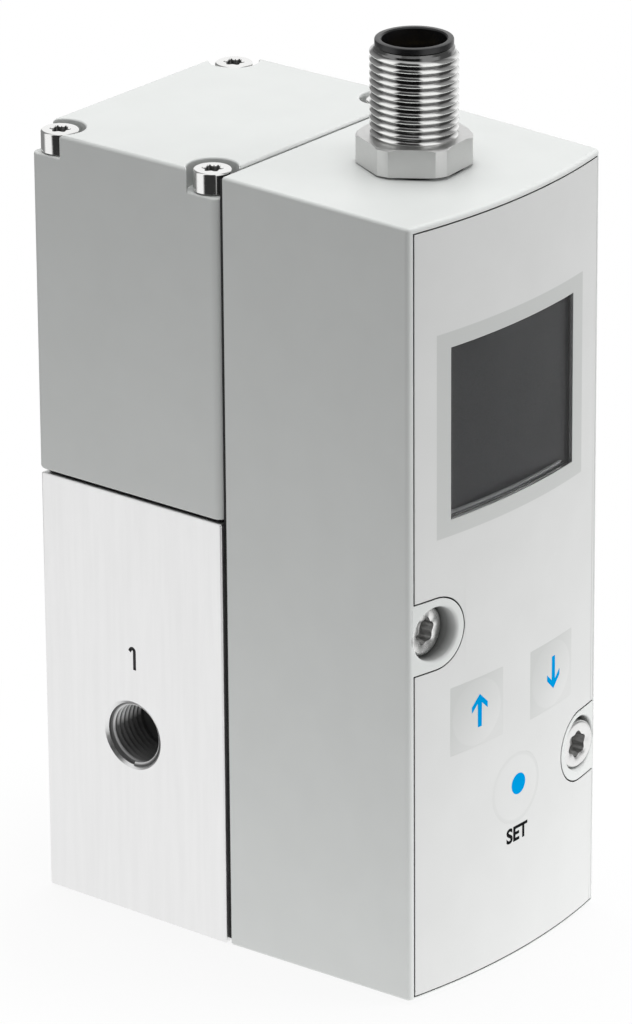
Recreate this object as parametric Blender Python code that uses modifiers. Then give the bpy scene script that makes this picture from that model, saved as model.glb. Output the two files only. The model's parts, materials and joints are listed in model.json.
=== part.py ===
"""Electro pneumatic regulator: a piloted pressure valve with its electronics housing.

Metres, +Z up. The origin is the middle of the foot. The display looks along -Y, and the
two halves meet at y = 0: electronics in front, valve body and pilot valves behind.
"""

import math

import bmesh
import bpy

# Envelope
WIDTH = 0.0424                 # both halves, across the two side ports
JOINT_GAP = 0.0007             # between the two halves, filled by the rear gasket

# Clearances
GAP = 0.0002                   # left where two pieces meet
TIGHT = 0.0001                 # left round pressed, screwed and guided pieces
REACH = 0.002                  # how far a cutter runs past the face that it opens

# Electronics housing
CASE_DEPTH = 0.0311            # at its sides
FRONT_BULGE = 0.0023           # how far the middle of the front stands out past them
TOP_DROP = 0.0008              # moulding draft over that depth, at the top
FOOT_RISE = 0.0004             # at the foot
SIDE_TAPER = 0.0004            # and on each side
CASE_EDGE = 0.0005             # edge rounding
CASE_FLOOR = 0.003
CASE_ROOF = 0.0036
REAR_WALL = 0.0025

# Front panel
PANEL_THICK = 0.0018
PANEL_RIM = 0.0008             # housing rim beside the panel
PANEL_FOOT_RIM = 0.0006        # under it
PANEL_TOP_RIM = 0.001          # over it
PANEL_LEDGE = 0.0022           # width of the ledge that carries it
PANEL_FIT = 0.00015            # gap round the panel, and round what shows through it

# Screws that hold the electronics housing to the valve body
LAND_RADIUS = 0.00505          # round lands that reach the front through the panel
LAND_INSET = 0.0052            # screw axis to the side of the housing
LEFT_SCREW_DROP = 0.0092       # left screw below the top of the valve body
SCREW_STEP = 0.0271            # right screw below the left one
LEFT_HEAD_DEPTH = 0.0022       # head top below the front
RIGHT_HEAD_DEPTH = 0.0003
HEAD_BORE_RADIUS = 0.0038
MOUNT_HEAD_RADIUS = 0.0034
MOUNT_HEAD_HEIGHT = 0.0028
MOUNT_SHANK_RADIUS = 0.002
MOUNT_BITE = 0.0088            # thread length in the valve body

# Display
WINDOW_HEIGHT = 0.02445
WINDOW_DROP = 0.01885           # its top edge below the top of the housing
WINDOW_THICK = 0.0016
MODULE_BORDER = 0.0018         # module past the window on each side
MODULE_SIDE = 0.0026           # module to the side walls
MODULE_DEPTH = 0.0042
SCREEN_SINK = 0.0006           # screen below the module's bezel

# Keys
KEY_SIDE = 0.00655             # arrow keys to the panel's sides
KEY_APART = 0.0061             # between the two arrow keys
KEY_HEIGHT = 0.01
KEY_DROP = 0.0136              # arrow keys below the left screw
EDIT_KEY_RADIUS = 0.0051
EDIT_KEY_DROP = 0.0139         # round key below the arrow keys
KEY_FLANGE = 0.0008            # collar behind the panel, its width and thickness
KEY_STEM_RADIUS = 0.0015
KEY_STEM = 0.0008              # its length
KEY_TRAVEL = 0.0004
SWITCH_SIZE = 0.006
SWITCH_BUTTON = 0.0005
SWITCH_BUTTON_RADIUS = 0.0016

# Circuit boards
BOARD_THICK = 0.0016
BOARD_SIDE_GAP = 0.0004        # boards to the housing walls
BOARD_FOOT = 0.005             # boards above the housing floor
DISPLAY_BOARD_DROP = 0.014     # board tops below the top of the housing
CONTROL_BOARD_DROP = 0.0085
CONTROL_BOARD_STAND = 0.0036   # control board in front of the rear wall
HEADER_WIDTH = 0.018
HEADER_HEIGHT = 0.0025
HEADER_Z = 0.0125
CHIP_SIZE = 0.01
CHIP_THICK = 0.0012
CHIP_Z = 0.06
POST_RADIUS = 0.0025
POST_Z = 0.078
BOARD_SCREW_RADIUS = 0.0012
BOARD_SCREW_HEAD = 0.0021
BOARD_SCREW_HEAD_HEIGHT = 0.0016

# Pressure sensor
SENSOR_Z = 0.042
SENSOR_SIZE = 0.007
SENSOR_NOZZLE_RADIUS = 0.002
SENSOR_REACH = 0.0025          # nozzle into the valve body
SENSOR_SEAL_WIRE = 0.0004      # radius of the ring's section

# Round plug connector on top
CONNECTOR_Y = -0.01585
HEX_FLATS = 0.0144
HEX_CORNERS = 0.0156           # corners turned down to this diameter
HEX_HEIGHT = 0.0039
HEX_TURN = math.radians(-24.5) # direction of one flat
THREAD_RADIUS = 0.00596
THREAD_TOP = 0.01626           # above the seat of the hexagon
THREAD_CHAMFER = 0.0006
RELIEF_DEPTH = 0.0006          # groove between hexagon and thread
RELIEF_HEIGHT = 0.0008
SHELL_BORE_RADIUS = 0.00485
SHELL_TAIL = 0.0083            # shell below the seat
INSERT_RIM_RADIUS = 0.00528
INSERT_RIM_HEIGHT = 0.0008
INSERT_WALL = 0.0004
SOCKET_DEPTH = 0.0094
PIN_RADIUS = 0.0004
PIN_CIRCLE = 0.00275
PIN_TOP_BELOW_RIM = 0.0025
PIN_TAIL = 0.0012              # pins below the insert
NUT_FLATS = 0.015
NUT_CORNERS = 0.0168
NUT_HEIGHT = 0.003
RING_WIRE = 0.00038            # section radius of the ring under the hexagon
CONNECTOR_BOARD_WIDTH = 0.017

# Valve body
BODY_HEIGHT = 0.0623
BODY_SETBACK = 0.0006          # its back in front of the pilot housing's
BODY_EDGE = 0.0003
COVER_GAP = 0.0004             # body top to pilot housing
PORT_Z = 0.027
PORT_RADIUS = 0.0044
PORT_DEPTH = 0.008
PORT_SINK_RADIUS = 0.0052
PORT_SINK = 0.0008
CHANNEL_RADIUS = 0.0018
SUPPLY_CHANNEL_DROP = 0.0032   # below the port axis
OUTPUT_CHANNEL_RISE = 0.0042   # above it

# Main valve
PLUG_RADIUS = 0.009
PLUG_HEIGHT = 0.012
PLUG_GUIDE_RADIUS = 0.0038
PLUG_GUIDE_HEIGHT = 0.003
PLUG_RING_WIRE = 0.00045
PLUG_RING_Z = 0.0094
CHAMBER_RADIUS = 0.0075
OUTPUT_RADIUS = 0.007
SEAT_HEIGHT = 0.0029
SEAT_RISE = 0.0021             # its top above the port axis
SEAT_BORE = 0.004
SEAT_LIP = 0.0007              # width of the lip
SEAT_LIP_DROP = 0.0005
STEM_RADIUS = 0.0025
STEM_BORE = 0.0013
STEM_ENTRY = 0.0064            # stem inside the plug's guide
POPPET_RADIUS = 0.0055
POPPET_THICK = 0.0025
POPPET_SEAL_THICK = 0.0004
VALVE_STROKE = 0.0012
SPRING_RADIUS = 0.0046         # middle of the wire
SPRING_WIRE = 0.0004

# Diaphragm and control piston
DIAPHRAGM_WALL = 0.00165       # wall left outside the rim, front and back
DIAPHRAGM_CHAMBER_DEPTH = 0.0063
DIAPHRAGM_RIM_WIDTH = 0.0016
DIAPHRAGM_THICK = 0.0006
DIAPHRAGM_DROP = 0.0017        # its middle below its rim
DIAPHRAGM_ROLL = 0.0028        # free width between piston and chamber
PISTON_THICK = 0.0015
PISTON_HUB_RADIUS = 0.0024
WASHER_INSET = 0.0016          # washer's edge inside the piston's
WASHER_THICK = 0.0008
PISTON_FOOT_DROP = 0.0015      # its foot below the disc, towards the stem

# Pilot housing
PILOT_DEPTH = 0.0327
PILOT_HEIGHT = 0.0493
PILOT_CORNER = 0.0012
PILOT_EDGE = 0.0004
PILOT_WALL = 0.0023
PILOT_ROOF = 0.0028
COVER_SCREW_SIDE = 0.0028      # screw axis to the side
COVER_SCREW_END = 0.003        # and to the front or back
COVER_SCREW_RADIUS = 0.0015
COVER_SCREW_BITE = 0.0048
COVER_HEAD_RADIUS = 0.00265
COVER_HEAD_HEIGHT = 0.003
COVER_POCKET_RADIUS = 0.0035
COVER_POCKET_DEPTH = 0.0034
POST_WALL = 0.0012             # wall round a cover screw's pocket

# Pilot valves
PILOT_BASE_HEIGHT = 0.0113
PILOT_RECESS_INSET = 0.0003    # recess inside the diaphragm chamber's edge
PILOT_RECESS = 0.0019
NOZZLE_RADIUS = 0.0015
NOZZLE_BORE = 0.0006
NOZZLE_HEIGHT = 0.0013
COIL_RADIUS = 0.007
COIL_APART = 0.0022            # between the two coils
COIL_FLANGE = 0.0012
COIL_WAIST = 0.0007            # winding below the bobbin's flanges
ARMATURE_RADIUS = 0.003
ARMATURE_STROKE = 0.0005
YOKE_THICK = 0.0015
YOKE_WIDTH = 0.0098            # the strip that the yoke is bent from
ARMATURE_BORE = 0.0017
ARMATURE_BORE_DEPTH = 0.0045
PILOT_SPRING_RADIUS = 0.0012
PILOT_SPRING_WIRE = 0.00018
PILOT_BOARD_DROP = 0.0112      # board below the roof
PILOT_BOARD_THICK = 0.0014
PILOT_BOARD_INSET = 0.0014
PILOT_HEADER_WIDTH = 0.012
PILOT_HEADER_HEIGHT = 0.0028
PILOT_HEADER_REACH = 0.006     # onto the pilot board

# Round pieces
ROUND = 24
SMALL_ROUND = 14
FINE_ROUND = 10
ARC_STEPS = 12

# Places that follow from those sizes
HALF = WIDTH / 2
HEIGHT = BODY_HEIGHT + COVER_GAP + PILOT_HEIGHT
BODY_DEPTH = PILOT_DEPTH - BODY_SETBACK
FRONT_HALF = HALF - SIDE_TAPER
PANEL_HALF = FRONT_HALF - PANEL_RIM
ARC_RADIUS = (FRONT_HALF ** 2 + FRONT_BULGE ** 2) / (2 * FRONT_BULGE)
PANEL_FOOT = FOOT_RISE + PANEL_FOOT_RIM
PANEL_TOP = HEIGHT - TOP_DROP - PANEL_TOP_RIM
CAVITY_HALF = PANEL_HALF - PANEL_LEDGE
CAVITY_TOP = HEIGHT - CASE_ROOF
SCREW_X = HALF - LAND_INSET
LEFT_SCREW_Z = BODY_HEIGHT - LEFT_SCREW_DROP
RIGHT_SCREW_Z = LEFT_SCREW_Z - SCREW_STEP
WINDOW_WIDTH = 2 * (CAVITY_HALF - MODULE_SIDE - MODULE_BORDER)
WINDOW_TOP = HEIGHT - WINDOW_DROP
WINDOW_FOOT = WINDOW_TOP - WINDOW_HEIGHT
KEY_WIDTH = PANEL_HALF - KEY_SIDE - KEY_APART / 2
KEY_SPACING = KEY_WIDTH + KEY_APART
KEY_Z = LEFT_SCREW_Z - KEY_DROP
EDIT_KEY_Z = KEY_Z - EDIT_KEY_DROP
VALVE_Y = JOINT_GAP + PILOT_DEPTH / 2
BODY_BACK = JOINT_GAP + BODY_DEPTH
PILOT_BACK = JOINT_GAP + PILOT_DEPTH
PILOT_FOOT = BODY_HEIGHT + COVER_GAP
PILOT_CEILING = HEIGHT - PILOT_ROOF
COVER_POST_RADIUS = COVER_POCKET_RADIUS + POST_WALL
CONTROL_BOARD_BACK = -REAR_WALL - CONTROL_BOARD_STAND
CONTROL_BOARD_FRONT = CONTROL_BOARD_BACK - BOARD_THICK
SEAT_TOP = PORT_Z + SEAT_RISE
SEAT_FOOT = SEAT_TOP - SEAT_HEIGHT
LIP_FOOT = SEAT_FOOT - SEAT_LIP_DROP
POPPET_TOP = LIP_FOOT - TIGHT - POPPET_SEAL_THICK - TIGHT
POPPET_FOOT = POPPET_TOP - POPPET_THICK
GUIDE_TOP = PLUG_HEIGHT + PLUG_GUIDE_HEIGHT
CHAMBER_FLOOR = BODY_HEIGHT - DIAPHRAGM_CHAMBER_DEPTH
RIM_RADIUS = PILOT_DEPTH / 2 - DIAPHRAGM_WALL
DIAPHRAGM_CHAMBER_RADIUS = RIM_RADIUS - DIAPHRAGM_RIM_WIDTH
PISTON_RADIUS = DIAPHRAGM_CHAMBER_RADIUS - DIAPHRAGM_ROLL
WASHER_RADIUS = PISTON_RADIUS - WASHER_INSET
RIM_TOP = PILOT_FOOT - TIGHT
RIM_FOOT = RIM_TOP - DIAPHRAGM_THICK
DISC_TOP = RIM_TOP - DIAPHRAGM_DROP
DISC_FOOT = DISC_TOP - DIAPHRAGM_THICK
PISTON_TOP = DISC_FOOT - TIGHT
PISTON_FOOT = PISTON_TOP - PISTON_THICK
STEM_TOP = PISTON_FOOT - PISTON_FOOT_DROP
PILOT_BASE_TOP = PILOT_FOOT + PILOT_BASE_HEIGHT
PILOT_RECESS_RADIUS = DIAPHRAGM_CHAMBER_RADIUS - PILOT_RECESS_INSET
PILOT_SPACING = 2 * COIL_RADIUS + COIL_APART
PILOT_BOARD_FOOT = PILOT_CEILING - PILOT_BOARD_DROP
PILOT_BOARD_TOP = PILOT_BOARD_FOOT + PILOT_BOARD_THICK
YOKE_TOP = PILOT_BOARD_FOOT - GAP
YOKE_FOOT = PILOT_BASE_TOP + GAP
COIL_FOOT = YOKE_FOOT + YOKE_THICK + GAP
COIL_TOP = YOKE_TOP - YOKE_THICK - GAP
ARMATURE_FOOT = PILOT_BASE_TOP + NOZZLE_HEIGHT + TIGHT
ARMATURE_TOP = (COIL_FOOT + COIL_TOP) / 2
AIR_GAP = ARMATURE_STROKE + GAP
HEADER_SLOT_FOOT = PILOT_BOARD_TOP + GAP

FINISHES = {
    "light grey plastic": ((0.60, 0.61, 0.60), 0.55, 0.0),
    "pale panel foil": ((0.66, 0.66, 0.65), 0.45, 0.0),
    "brushed aluminium": ((0.80, 0.80, 0.80), 0.35, 1.0),
    "plated brass": ((0.72, 0.70, 0.66), 0.25, 1.0),
    "plated steel": ((0.62, 0.62, 0.62), 0.28, 1.0),
    "soft iron": ((0.45, 0.45, 0.46), 0.40, 1.0),
    "spring steel": ((0.50, 0.50, 0.52), 0.30, 1.0),
    "black plastic": ((0.02, 0.02, 0.02), 0.45, 0.0),
    "black rubber": ((0.03, 0.03, 0.03), 0.70, 0.0),
    "tinted window": ((0.05, 0.05, 0.055), 0.10, 0.0),
    "copper winding": ((0.55, 0.25, 0.10), 0.40, 1.0),
    "green circuit board": ((0.02, 0.14, 0.06), 0.50, 0.0),
    "natural plastic": ((0.70, 0.66, 0.56), 0.50, 0.0),
    "gold contact": ((0.80, 0.60, 0.25), 0.25, 1.0),
}
PART_GROUP = "electro pneumatic regulator"
CUTTER_GROUP = "cutters"


# Scene, finishes and the small set of shaping tools

def clear_scene():
    """Removes what the scene holds and makes the two collections and the finishes."""
    for item in list(bpy.data.objects):
        bpy.data.objects.remove(item)
    for name in (PART_GROUP, CUTTER_GROUP):
        group = bpy.data.collections.new(name)
        bpy.context.scene.collection.children.link(group)
    for name, (colour, roughness, metallic) in FINISHES.items():
        finish = bpy.data.materials.new(name)
        finish.use_nodes = True
        shader = finish.node_tree.nodes["Principled BSDF"]
        shader.inputs["Base Color"].default_value = (*colour, 1.0)
        shader.inputs["Roughness"].default_value = roughness
        shader.inputs["Metallic"].default_value = metallic


def place(name, mesh, finish, location=(0, 0, 0), rotation=(0, 0, 0)):
    """Puts a mesh in the scene: a piece if it has a finish, a cutter if it has none."""
    item = bpy.data.objects.new(name, mesh)
    item.location = location
    item.rotation_euler = rotation
    if finish is None:
        item.hide_render = True
        item.display_type = "WIRE"
        bpy.data.collections[CUTTER_GROUP].objects.link(item)
        return item
    mesh.materials.append(bpy.data.materials[finish])
    bpy.data.collections[PART_GROUP].objects.link(item)
    return item


def mesh_from(shape, name):
    """Turns a finished bmesh into a mesh with its faces pointing out."""
    bmesh.ops.recalc_face_normals(shape, faces=shape.faces)
    mesh = bpy.data.meshes.new(name)
    shape.to_mesh(mesh)
    shape.free()
    mesh.shade_smooth()
    mesh.set_sharp_from_angle(angle=math.radians(35))
    return mesh


def box(name, low, high, finish=None):
    """A box between two corners, with its origin at its centre."""
    shape = bmesh.new()
    bmesh.ops.create_cube(shape, size=1.0)
    bmesh.ops.scale(shape, vec=[b - a for a, b in zip(low, high)], verts=shape.verts)
    centre = [(a + b) / 2 for a, b in zip(low, high)]
    return place(name, mesh_from(shape, name), finish, centre)


def rod(name, axis, centre, span, radius, finish=None, sides=SMALL_ROUND):
    """A cylinder along X, Y or Z. centre holds its other two coordinates, in order.

    A cutter's flats lie at its radius, so that a round piece of that radius clears it.
    """
    if finish is None:
        radius /= math.cos(math.pi / sides)
    shape = bmesh.new()
    bmesh.ops.create_cone(shape, cap_ends=True, segments=sides, radius1=radius,
                          radius2=radius, depth=span[1] - span[0])
    place_at = list(centre)
    place_at.insert("XYZ".index(axis), (span[0] + span[1]) / 2)
    turn = {"X": (0, math.pi / 2, 0), "Y": (math.pi / 2, 0, 0), "Z": (0, 0, 0)}[axis]
    return place(name, mesh_from(shape, name), finish, place_at, turn)


def turned(name, centre, profile, finish=None, closed=True, steps=ROUND):
    """A turned piece on a vertical axis. The profile runs down its outer side."""
    count = len(profile)
    edges = [(i, i + 1) for i in range(count - 1)]
    if closed:
        edges.append((count - 1, 0))
    mesh = bpy.data.meshes.new(name)
    mesh.from_pydata([(radius, 0, height) for radius, height in profile], edges, [])
    item = place(name, mesh, finish, (*centre, 0))
    screw = item.modifiers.new("turn", "SCREW")
    screw.steps = steps
    screw.render_steps = steps
    screw.use_smooth_shade = True
    screw.use_merge_vertices = True
    screw.merge_threshold = 0.00001
    return item


def ring(name, centre, radius, wire, height, finish, steps=ROUND):
    """A round sealing ring on a vertical axis."""
    sides = 6
    profile = []
    for i in range(sides):
        angle = math.pi / 2 - 2 * math.pi * i / sides
        profile.append((radius + wire * math.cos(angle), height + wire * math.sin(angle)))
    return turned(name, centre, profile, finish, steps=steps)


def curve_to_mesh(name, curve, finish):
    """Welds a filled curve's caps and returns it as a mesh piece."""
    source = bpy.data.objects.new(name, curve)
    bpy.context.scene.collection.objects.link(source)
    bpy.context.view_layer.update()
    view = bpy.context.evaluated_depsgraph_get()
    mesh = bpy.data.meshes.new_from_object(source.evaluated_get(view))
    bpy.data.objects.remove(source)
    bpy.data.curves.remove(curve)
    shape = bmesh.new()
    shape.from_mesh(mesh)
    bmesh.ops.remove_doubles(shape, verts=shape.verts, dist=0.000001)
    bpy.data.meshes.remove(mesh)
    return place(name, mesh_from(shape, name), finish)


def outline(name, points, bottom, top, finish=None):
    """A flat outline in x and y, extruded from bottom to top."""
    curve = bpy.data.curves.new(name, "CURVE")
    curve.dimensions = "2D"
    curve.fill_mode = "BOTH"
    curve.extrude = (top - bottom) / 2
    spline = curve.splines.new("POLY")
    spline.points.add(len(points) - 1)
    for point, (x, y) in zip(spline.points, points):
        point.co = (x, y, 0, 1)
    spline.use_cyclic_u = True
    item = curve_to_mesh(name, curve, finish)
    for vertex in item.data.vertices:
        vertex.co.z += (top + bottom) / 2
    return item


def spring(name, centre, radius, wire, bottom, top, turns, points_a_turn):
    """A coil spring between two heights."""
    curve = bpy.data.curves.new(name, "CURVE")
    curve.dimensions = "3D"
    curve.bevel_depth = wire
    curve.bevel_resolution = 2
    curve.use_fill_caps = True
    count = turns * points_a_turn + 1
    spline = curve.splines.new("POLY")
    spline.points.add(count - 1)
    low = bottom + wire
    high = top - wire
    for i, point in enumerate(spline.points):
        angle = 2 * math.pi * i / points_a_turn
        height = low + (high - low) * i / (count - 1)
        point.co = (radius * math.cos(angle), radius * math.sin(angle), height, 1)
    item = curve_to_mesh(name, curve, "spring steel")
    item.location = (*centre, 0)
    return item


def boolean(target, operation, others):
    """Adds one exact Boolean to the target for each of the other shapes."""
    for other in others:
        step = target.modifiers.new(other.name, "BOOLEAN")
        step.operation = operation
        step.solver = "EXACT"
        step.object = other
    return target


def cut(target, *cutters):
    """Takes the cutters out of the target."""
    return boolean(target, "DIFFERENCE", cutters)


def join(target, *others):
    """Adds the other shapes to the target."""
    return boolean(target, "UNION", others)


def soften(item, width, segments=2):
    """Rounds the sharp edges that an item has so far."""
    bevel = item.modifiers.new("edges", "BEVEL")
    bevel.limit_method = "ANGLE"
    bevel.angle_limit = math.radians(40)
    bevel.width = width
    bevel.segments = segments
    return item


def arc(centre, radius, start, end, steps):
    """Points on an arc, both ends included, angles in degrees."""
    points = []
    for i in range(steps + 1):
        angle = math.radians(start + (end - start) * i / steps)
        points.append((centre[0] + radius * math.cos(angle),
                       centre[1] + radius * math.sin(angle)))
    return points


def hexagon(centre, flats, corners, turn):
    """A hexagon across its flats, its corners turned down to a diameter."""
    reach = math.degrees(math.acos(flats / corners))
    points = []
    for side in range(6):
        flat = math.degrees(turn) + 60 * side
        points += arc(centre, corners / 2, flat + reach, flat + 60 - reach, 2)
    return points


# Electronics housing

def front_y(x, inset=0.0):
    """Where the curved front lies at x, or a surface that far behind it."""
    return ARC_RADIUS - math.sqrt(ARC_RADIUS ** 2 - x ** 2) - CASE_DEPTH - FRONT_BULGE + inset


def case_top(y):
    """Height of the housing's sloping top at y."""
    return HEIGHT + TOP_DROP * y / CASE_DEPTH


def front_arc(half, inset):
    """Points along the curved front from -half to +half."""
    xs = [half * (2 * i / ARC_STEPS - 1) for i in range(ARC_STEPS + 1)]
    return [(x, front_y(x, inset)) for x in xs]


def curved_band(name, half, front, back, bottom, top, finish=None):
    """A slab between two insets of the curved front."""
    points = front_arc(half, front) + front_arc(half, back)[::-1]
    return outline(name, points, bottom, top, finish)


def screw_land(name, side, z, radius):
    """The round land of a mounting screw with its bridge to the side wall, as a cutter."""
    x = side * SCREW_X
    edge = side * (HALF + REACH)
    half_turn = arc((x, z), radius, 90, 270, 10) if side > 0 else arc((x, z), radius, -90, 90, 10)
    first, last = half_turn[0], half_turn[-1]
    points = [(edge, first[1])] + half_turn + [(edge, last[1])]
    land = outline(name, points, -REACH, CASE_DEPTH + FRONT_BULGE + REACH)
    land.rotation_euler = (math.pi / 2, 0, 0)
    return land


def screw_lands(name, radius):
    """Both lands, left and right."""
    return (screw_land(name + "_left", -1, LEFT_SCREW_Z, radius),
            screw_land(name + "_right", 1, RIGHT_SCREW_Z, radius))


def head_seat(side_depth):
    """Where a mounting screw's head rests."""
    return front_y(SCREW_X, side_depth + MOUNT_HEAD_HEIGHT)


def electronics_housing():
    """The moulded shell: tapered block, hollowed from the front, with screw lands."""
    points = [(-HALF, 0.0)] + front_arc(FRONT_HALF, 0.0) + [(HALF, 0.0)]
    shell = outline("electronics_housing", points, 0.0, HEIGHT, "light grey plastic")
    for vertex in shell.data.vertices:
        depth = -vertex.co.y / CASE_DEPTH
        vertex.co.z += -TOP_DROP * depth if vertex.co.z > HEIGHT / 2 else FOOT_RISE * depth
    soften(shell, CASE_EDGE)
    cavity = box("case_cavity", (-CAVITY_HALF, front_y(0) - REACH, CASE_FLOOR),
                 (CAVITY_HALF, -REAR_WALL, CAVITY_TOP))
    recess = curved_band("panel_recess", PANEL_HALF + PANEL_FIT, -REACH, PANEL_THICK + GAP,
                         PANEL_FOOT - PANEL_FIT, PANEL_TOP + PANEL_FIT)
    cut(cavity, *screw_lands("cavity_land", LAND_RADIUS))
    cut(recess, *screw_lands("recess_land", LAND_RADIUS))
    cut(shell, cavity, recess)
    join(shell, rod("board_post", "Y", (0.0, POST_Z),
                    (CONTROL_BOARD_BACK + GAP, -REAR_WALL / 2), POST_RADIUS))
    cut(shell, rod("post_hole", "Y", (0.0, POST_Z),
                   (CONTROL_BOARD_BACK - REACH, -REAR_WALL / 2),
                   BOARD_SCREW_RADIUS + TIGHT, sides=FINE_ROUND))
    cut_screw_bores(shell)
    cut_connector_hole(shell)
    cut(shell, rear_hole("case_sensor_hole", SENSOR_NOZZLE_RADIUS + GAP),
        header_slot("case_header_slot", -REAR_WALL - REACH, REACH))


def cut_screw_bores(shell):
    """Counterbore and shank hole for each mounting screw."""
    for side, name, z, depth in ((-1, "left", LEFT_SCREW_Z, LEFT_HEAD_DEPTH),
                                 (1, "right", RIGHT_SCREW_Z, RIGHT_HEAD_DEPTH)):
        seat = head_seat(depth) + TIGHT
        place_at = (side * SCREW_X, z)
        cut(shell,
            rod("head_bore_" + name, "Y", place_at, (front_y(0) - REACH, seat),
                HEAD_BORE_RADIUS, sides=ROUND),
            rod("shank_bore_" + name, "Y", place_at, (seat - REACH / 4, REACH),
                MOUNT_SHANK_RADIUS + GAP))


def cut_connector_hole(shell):
    """The connector's hole in the roof, with the pocket for its sealing ring."""
    place_at = (0.0, CONNECTOR_Y)
    cut(shell,
        rod("connector_hole", "Z", place_at, (CAVITY_TOP - REACH, HEIGHT + REACH),
            THREAD_RADIUS + GAP, sides=ROUND),
        rod("ring_pocket", "Z", place_at, (RING_Z - RING_WIRE - TIGHT, HEIGHT + REACH),
            RING_RADIUS + RING_WIRE + TIGHT, sides=ROUND))


def rear_hole(name, radius, near=-REAR_WALL - REACH, far=REACH):
    """The hole that the pressure sensor looks through, as a cutter."""
    return rod(name, "Y", (0.0, SENSOR_Z), (near, far), radius)


def header_slot(name, near, far):
    """The slot that the pilot header passes through, as a cutter."""
    half = PILOT_HEADER_WIDTH / 2 + GAP
    return box(name, (-half, near, HEADER_SLOT_FOOT - GAP),
               (half, far, HEADER_SLOT_FOOT + PILOT_HEADER_HEIGHT + GAP))


def rear_gasket():
    """Flat gasket between the two halves, set back a little from their edges."""
    inset = JOINT_GAP
    plate = box("rear_gasket", (-HALF + inset, TIGHT, inset),
                (HALF - inset, JOINT_GAP - TIGHT, HEIGHT - inset), "black rubber")
    cut(plate, rear_hole("gasket_sensor_hole", SENSOR_NOZZLE_RADIUS + 4 * SENSOR_SEAL_WIRE),
        header_slot("gasket_header_slot", -REACH, REACH))
    for side, z in ((-1, LEFT_SCREW_Z), (1, RIGHT_SCREW_Z)):
        cut(plate, rod("gasket_screw_hole", "Y", (side * SCREW_X, z), (-REACH, REACH),
                       MOUNT_SHANK_RADIUS + 2 * GAP))


def mounting_screws():
    """The two screws through the electronics housing into the valve body."""
    for side, name, z, depth in ((-1, "left", LEFT_SCREW_Z, LEFT_HEAD_DEPTH),
                                 (1, "right", RIGHT_SCREW_Z, RIGHT_HEAD_DEPTH)):
        seat = head_seat(depth)
        screw("mounting_screw_" + name, (side * SCREW_X, seat, z), (math.pi / 2, 0, 0),
              MOUNT_HEAD_RADIUS, MOUNT_HEAD_HEIGHT, MOUNT_SHANK_RADIUS,
              JOINT_GAP + MOUNT_BITE - seat)


def screw(name, seat, turn, head_radius, head_height, shank_radius, shank_length):
    """A screw with a chamfered head and a hexagonal recess, seated under its head."""
    chamfer = head_height / 10
    profile = [(0.0, head_height), (head_radius - chamfer, head_height),
               (head_radius, head_height - chamfer), (head_radius, 0.0),
               (shank_radius, 0.0), (shank_radius, -shank_length), (0.0, -shank_length)]
    item = turned(name, (0, 0), profile, "plated steel", closed=False, steps=SMALL_ROUND)
    item.location = seat
    item.rotation_euler = turn
    recess = rod(name + "_recess", "Z", (0.0, 0.0), (head_height / 2, head_height + REACH),
                 head_radius / 2, sides=6)
    recess.parent = item
    return cut(item, recess)


# Panel, display and keys

def front_panel():
    """The curved cover with its openings for screws, window and keys."""
    panel = curved_band("front_panel", PANEL_HALF, 0.0, PANEL_THICK, PANEL_FOOT, PANEL_TOP,
                        "pale panel foil")
    near = front_y(0) - REACH
    far = front_y(PANEL_HALF) + PANEL_THICK + REACH
    half = WINDOW_WIDTH / 2
    cut(panel, *screw_lands("panel_notch", LAND_RADIUS + PANEL_FIT))
    cut(panel, box("window_opening", (-half, near, WINDOW_FOOT), (half, far, WINDOW_TOP)))
    for name, side in (("up", -1), ("down", 1)):
        x = side * KEY_SPACING / 2
        cut(panel, box(name + "_opening",
                       (x - KEY_WIDTH / 2, near, KEY_Z - KEY_HEIGHT / 2),
                       (x + KEY_WIDTH / 2, far, KEY_Z + KEY_HEIGHT / 2)))
    cut(panel, rod("edit_opening", "Y", (0.0, EDIT_KEY_Z), (near, far), EDIT_KEY_RADIUS,
                   sides=ROUND))


def display():
    """Window, display module behind it and the board that carries both keys and display."""
    half = WINDOW_WIDTH / 2
    curved_band("display_window", half - PANEL_FIT, 0.0, WINDOW_THICK,
                WINDOW_FOOT + PANEL_FIT, WINDOW_TOP - PANEL_FIT, "tinted window")
    module = box("display_module",
                 (-half - MODULE_BORDER, MODULE_FRONT, WINDOW_FOOT - MODULE_BORDER),
                 (half + MODULE_BORDER, MODULE_BACK, WINDOW_TOP + MODULE_BORDER),
                 "black plastic")
    cut(module, box("screen_recess", (-half + MODULE_BORDER, MODULE_FRONT - REACH,
                                      WINDOW_FOOT + MODULE_BORDER),
                    (half - MODULE_BORDER, MODULE_FRONT + SCREEN_SINK,
                     WINDOW_TOP - MODULE_BORDER)))
    board("display_board", DISPLAY_BOARD_FRONT, HEIGHT - DISPLAY_BOARD_DROP)


def board(name, front, top):
    """A circuit board across the housing, cut clear of the screw lands."""
    half = CAVITY_HALF - BOARD_SIDE_GAP
    plate = box(name, (-half, front, CASE_FLOOR + BOARD_FOOT),
                (half, front + BOARD_THICK, top), "green circuit board")
    return cut(plate, *screw_lands(name + "_notch", LAND_RADIUS + BOARD_SIDE_GAP))


def key_cap(name, cap, x, z, reach):
    """Trims a cap to the curved front, and gives it a stem. It slides along +Y."""
    front = curved_band(name + "_front", HALF, 0.0, CASE_DEPTH / 2, 0.0, HEIGHT)
    boolean(cap, "INTERSECT", [front])
    flange_front = front_y(reach, PANEL_THICK + GAP)
    flange_back = flange_front + KEY_FLANGE
    stem = rod(name + "_stem", "Y", (x, z),
               (flange_front + KEY_FLANGE / 2, flange_back + KEY_STEM),
               KEY_STEM_RADIUS, sides=FINE_ROUND)
    join(cap, stem)
    return flange_back


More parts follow.
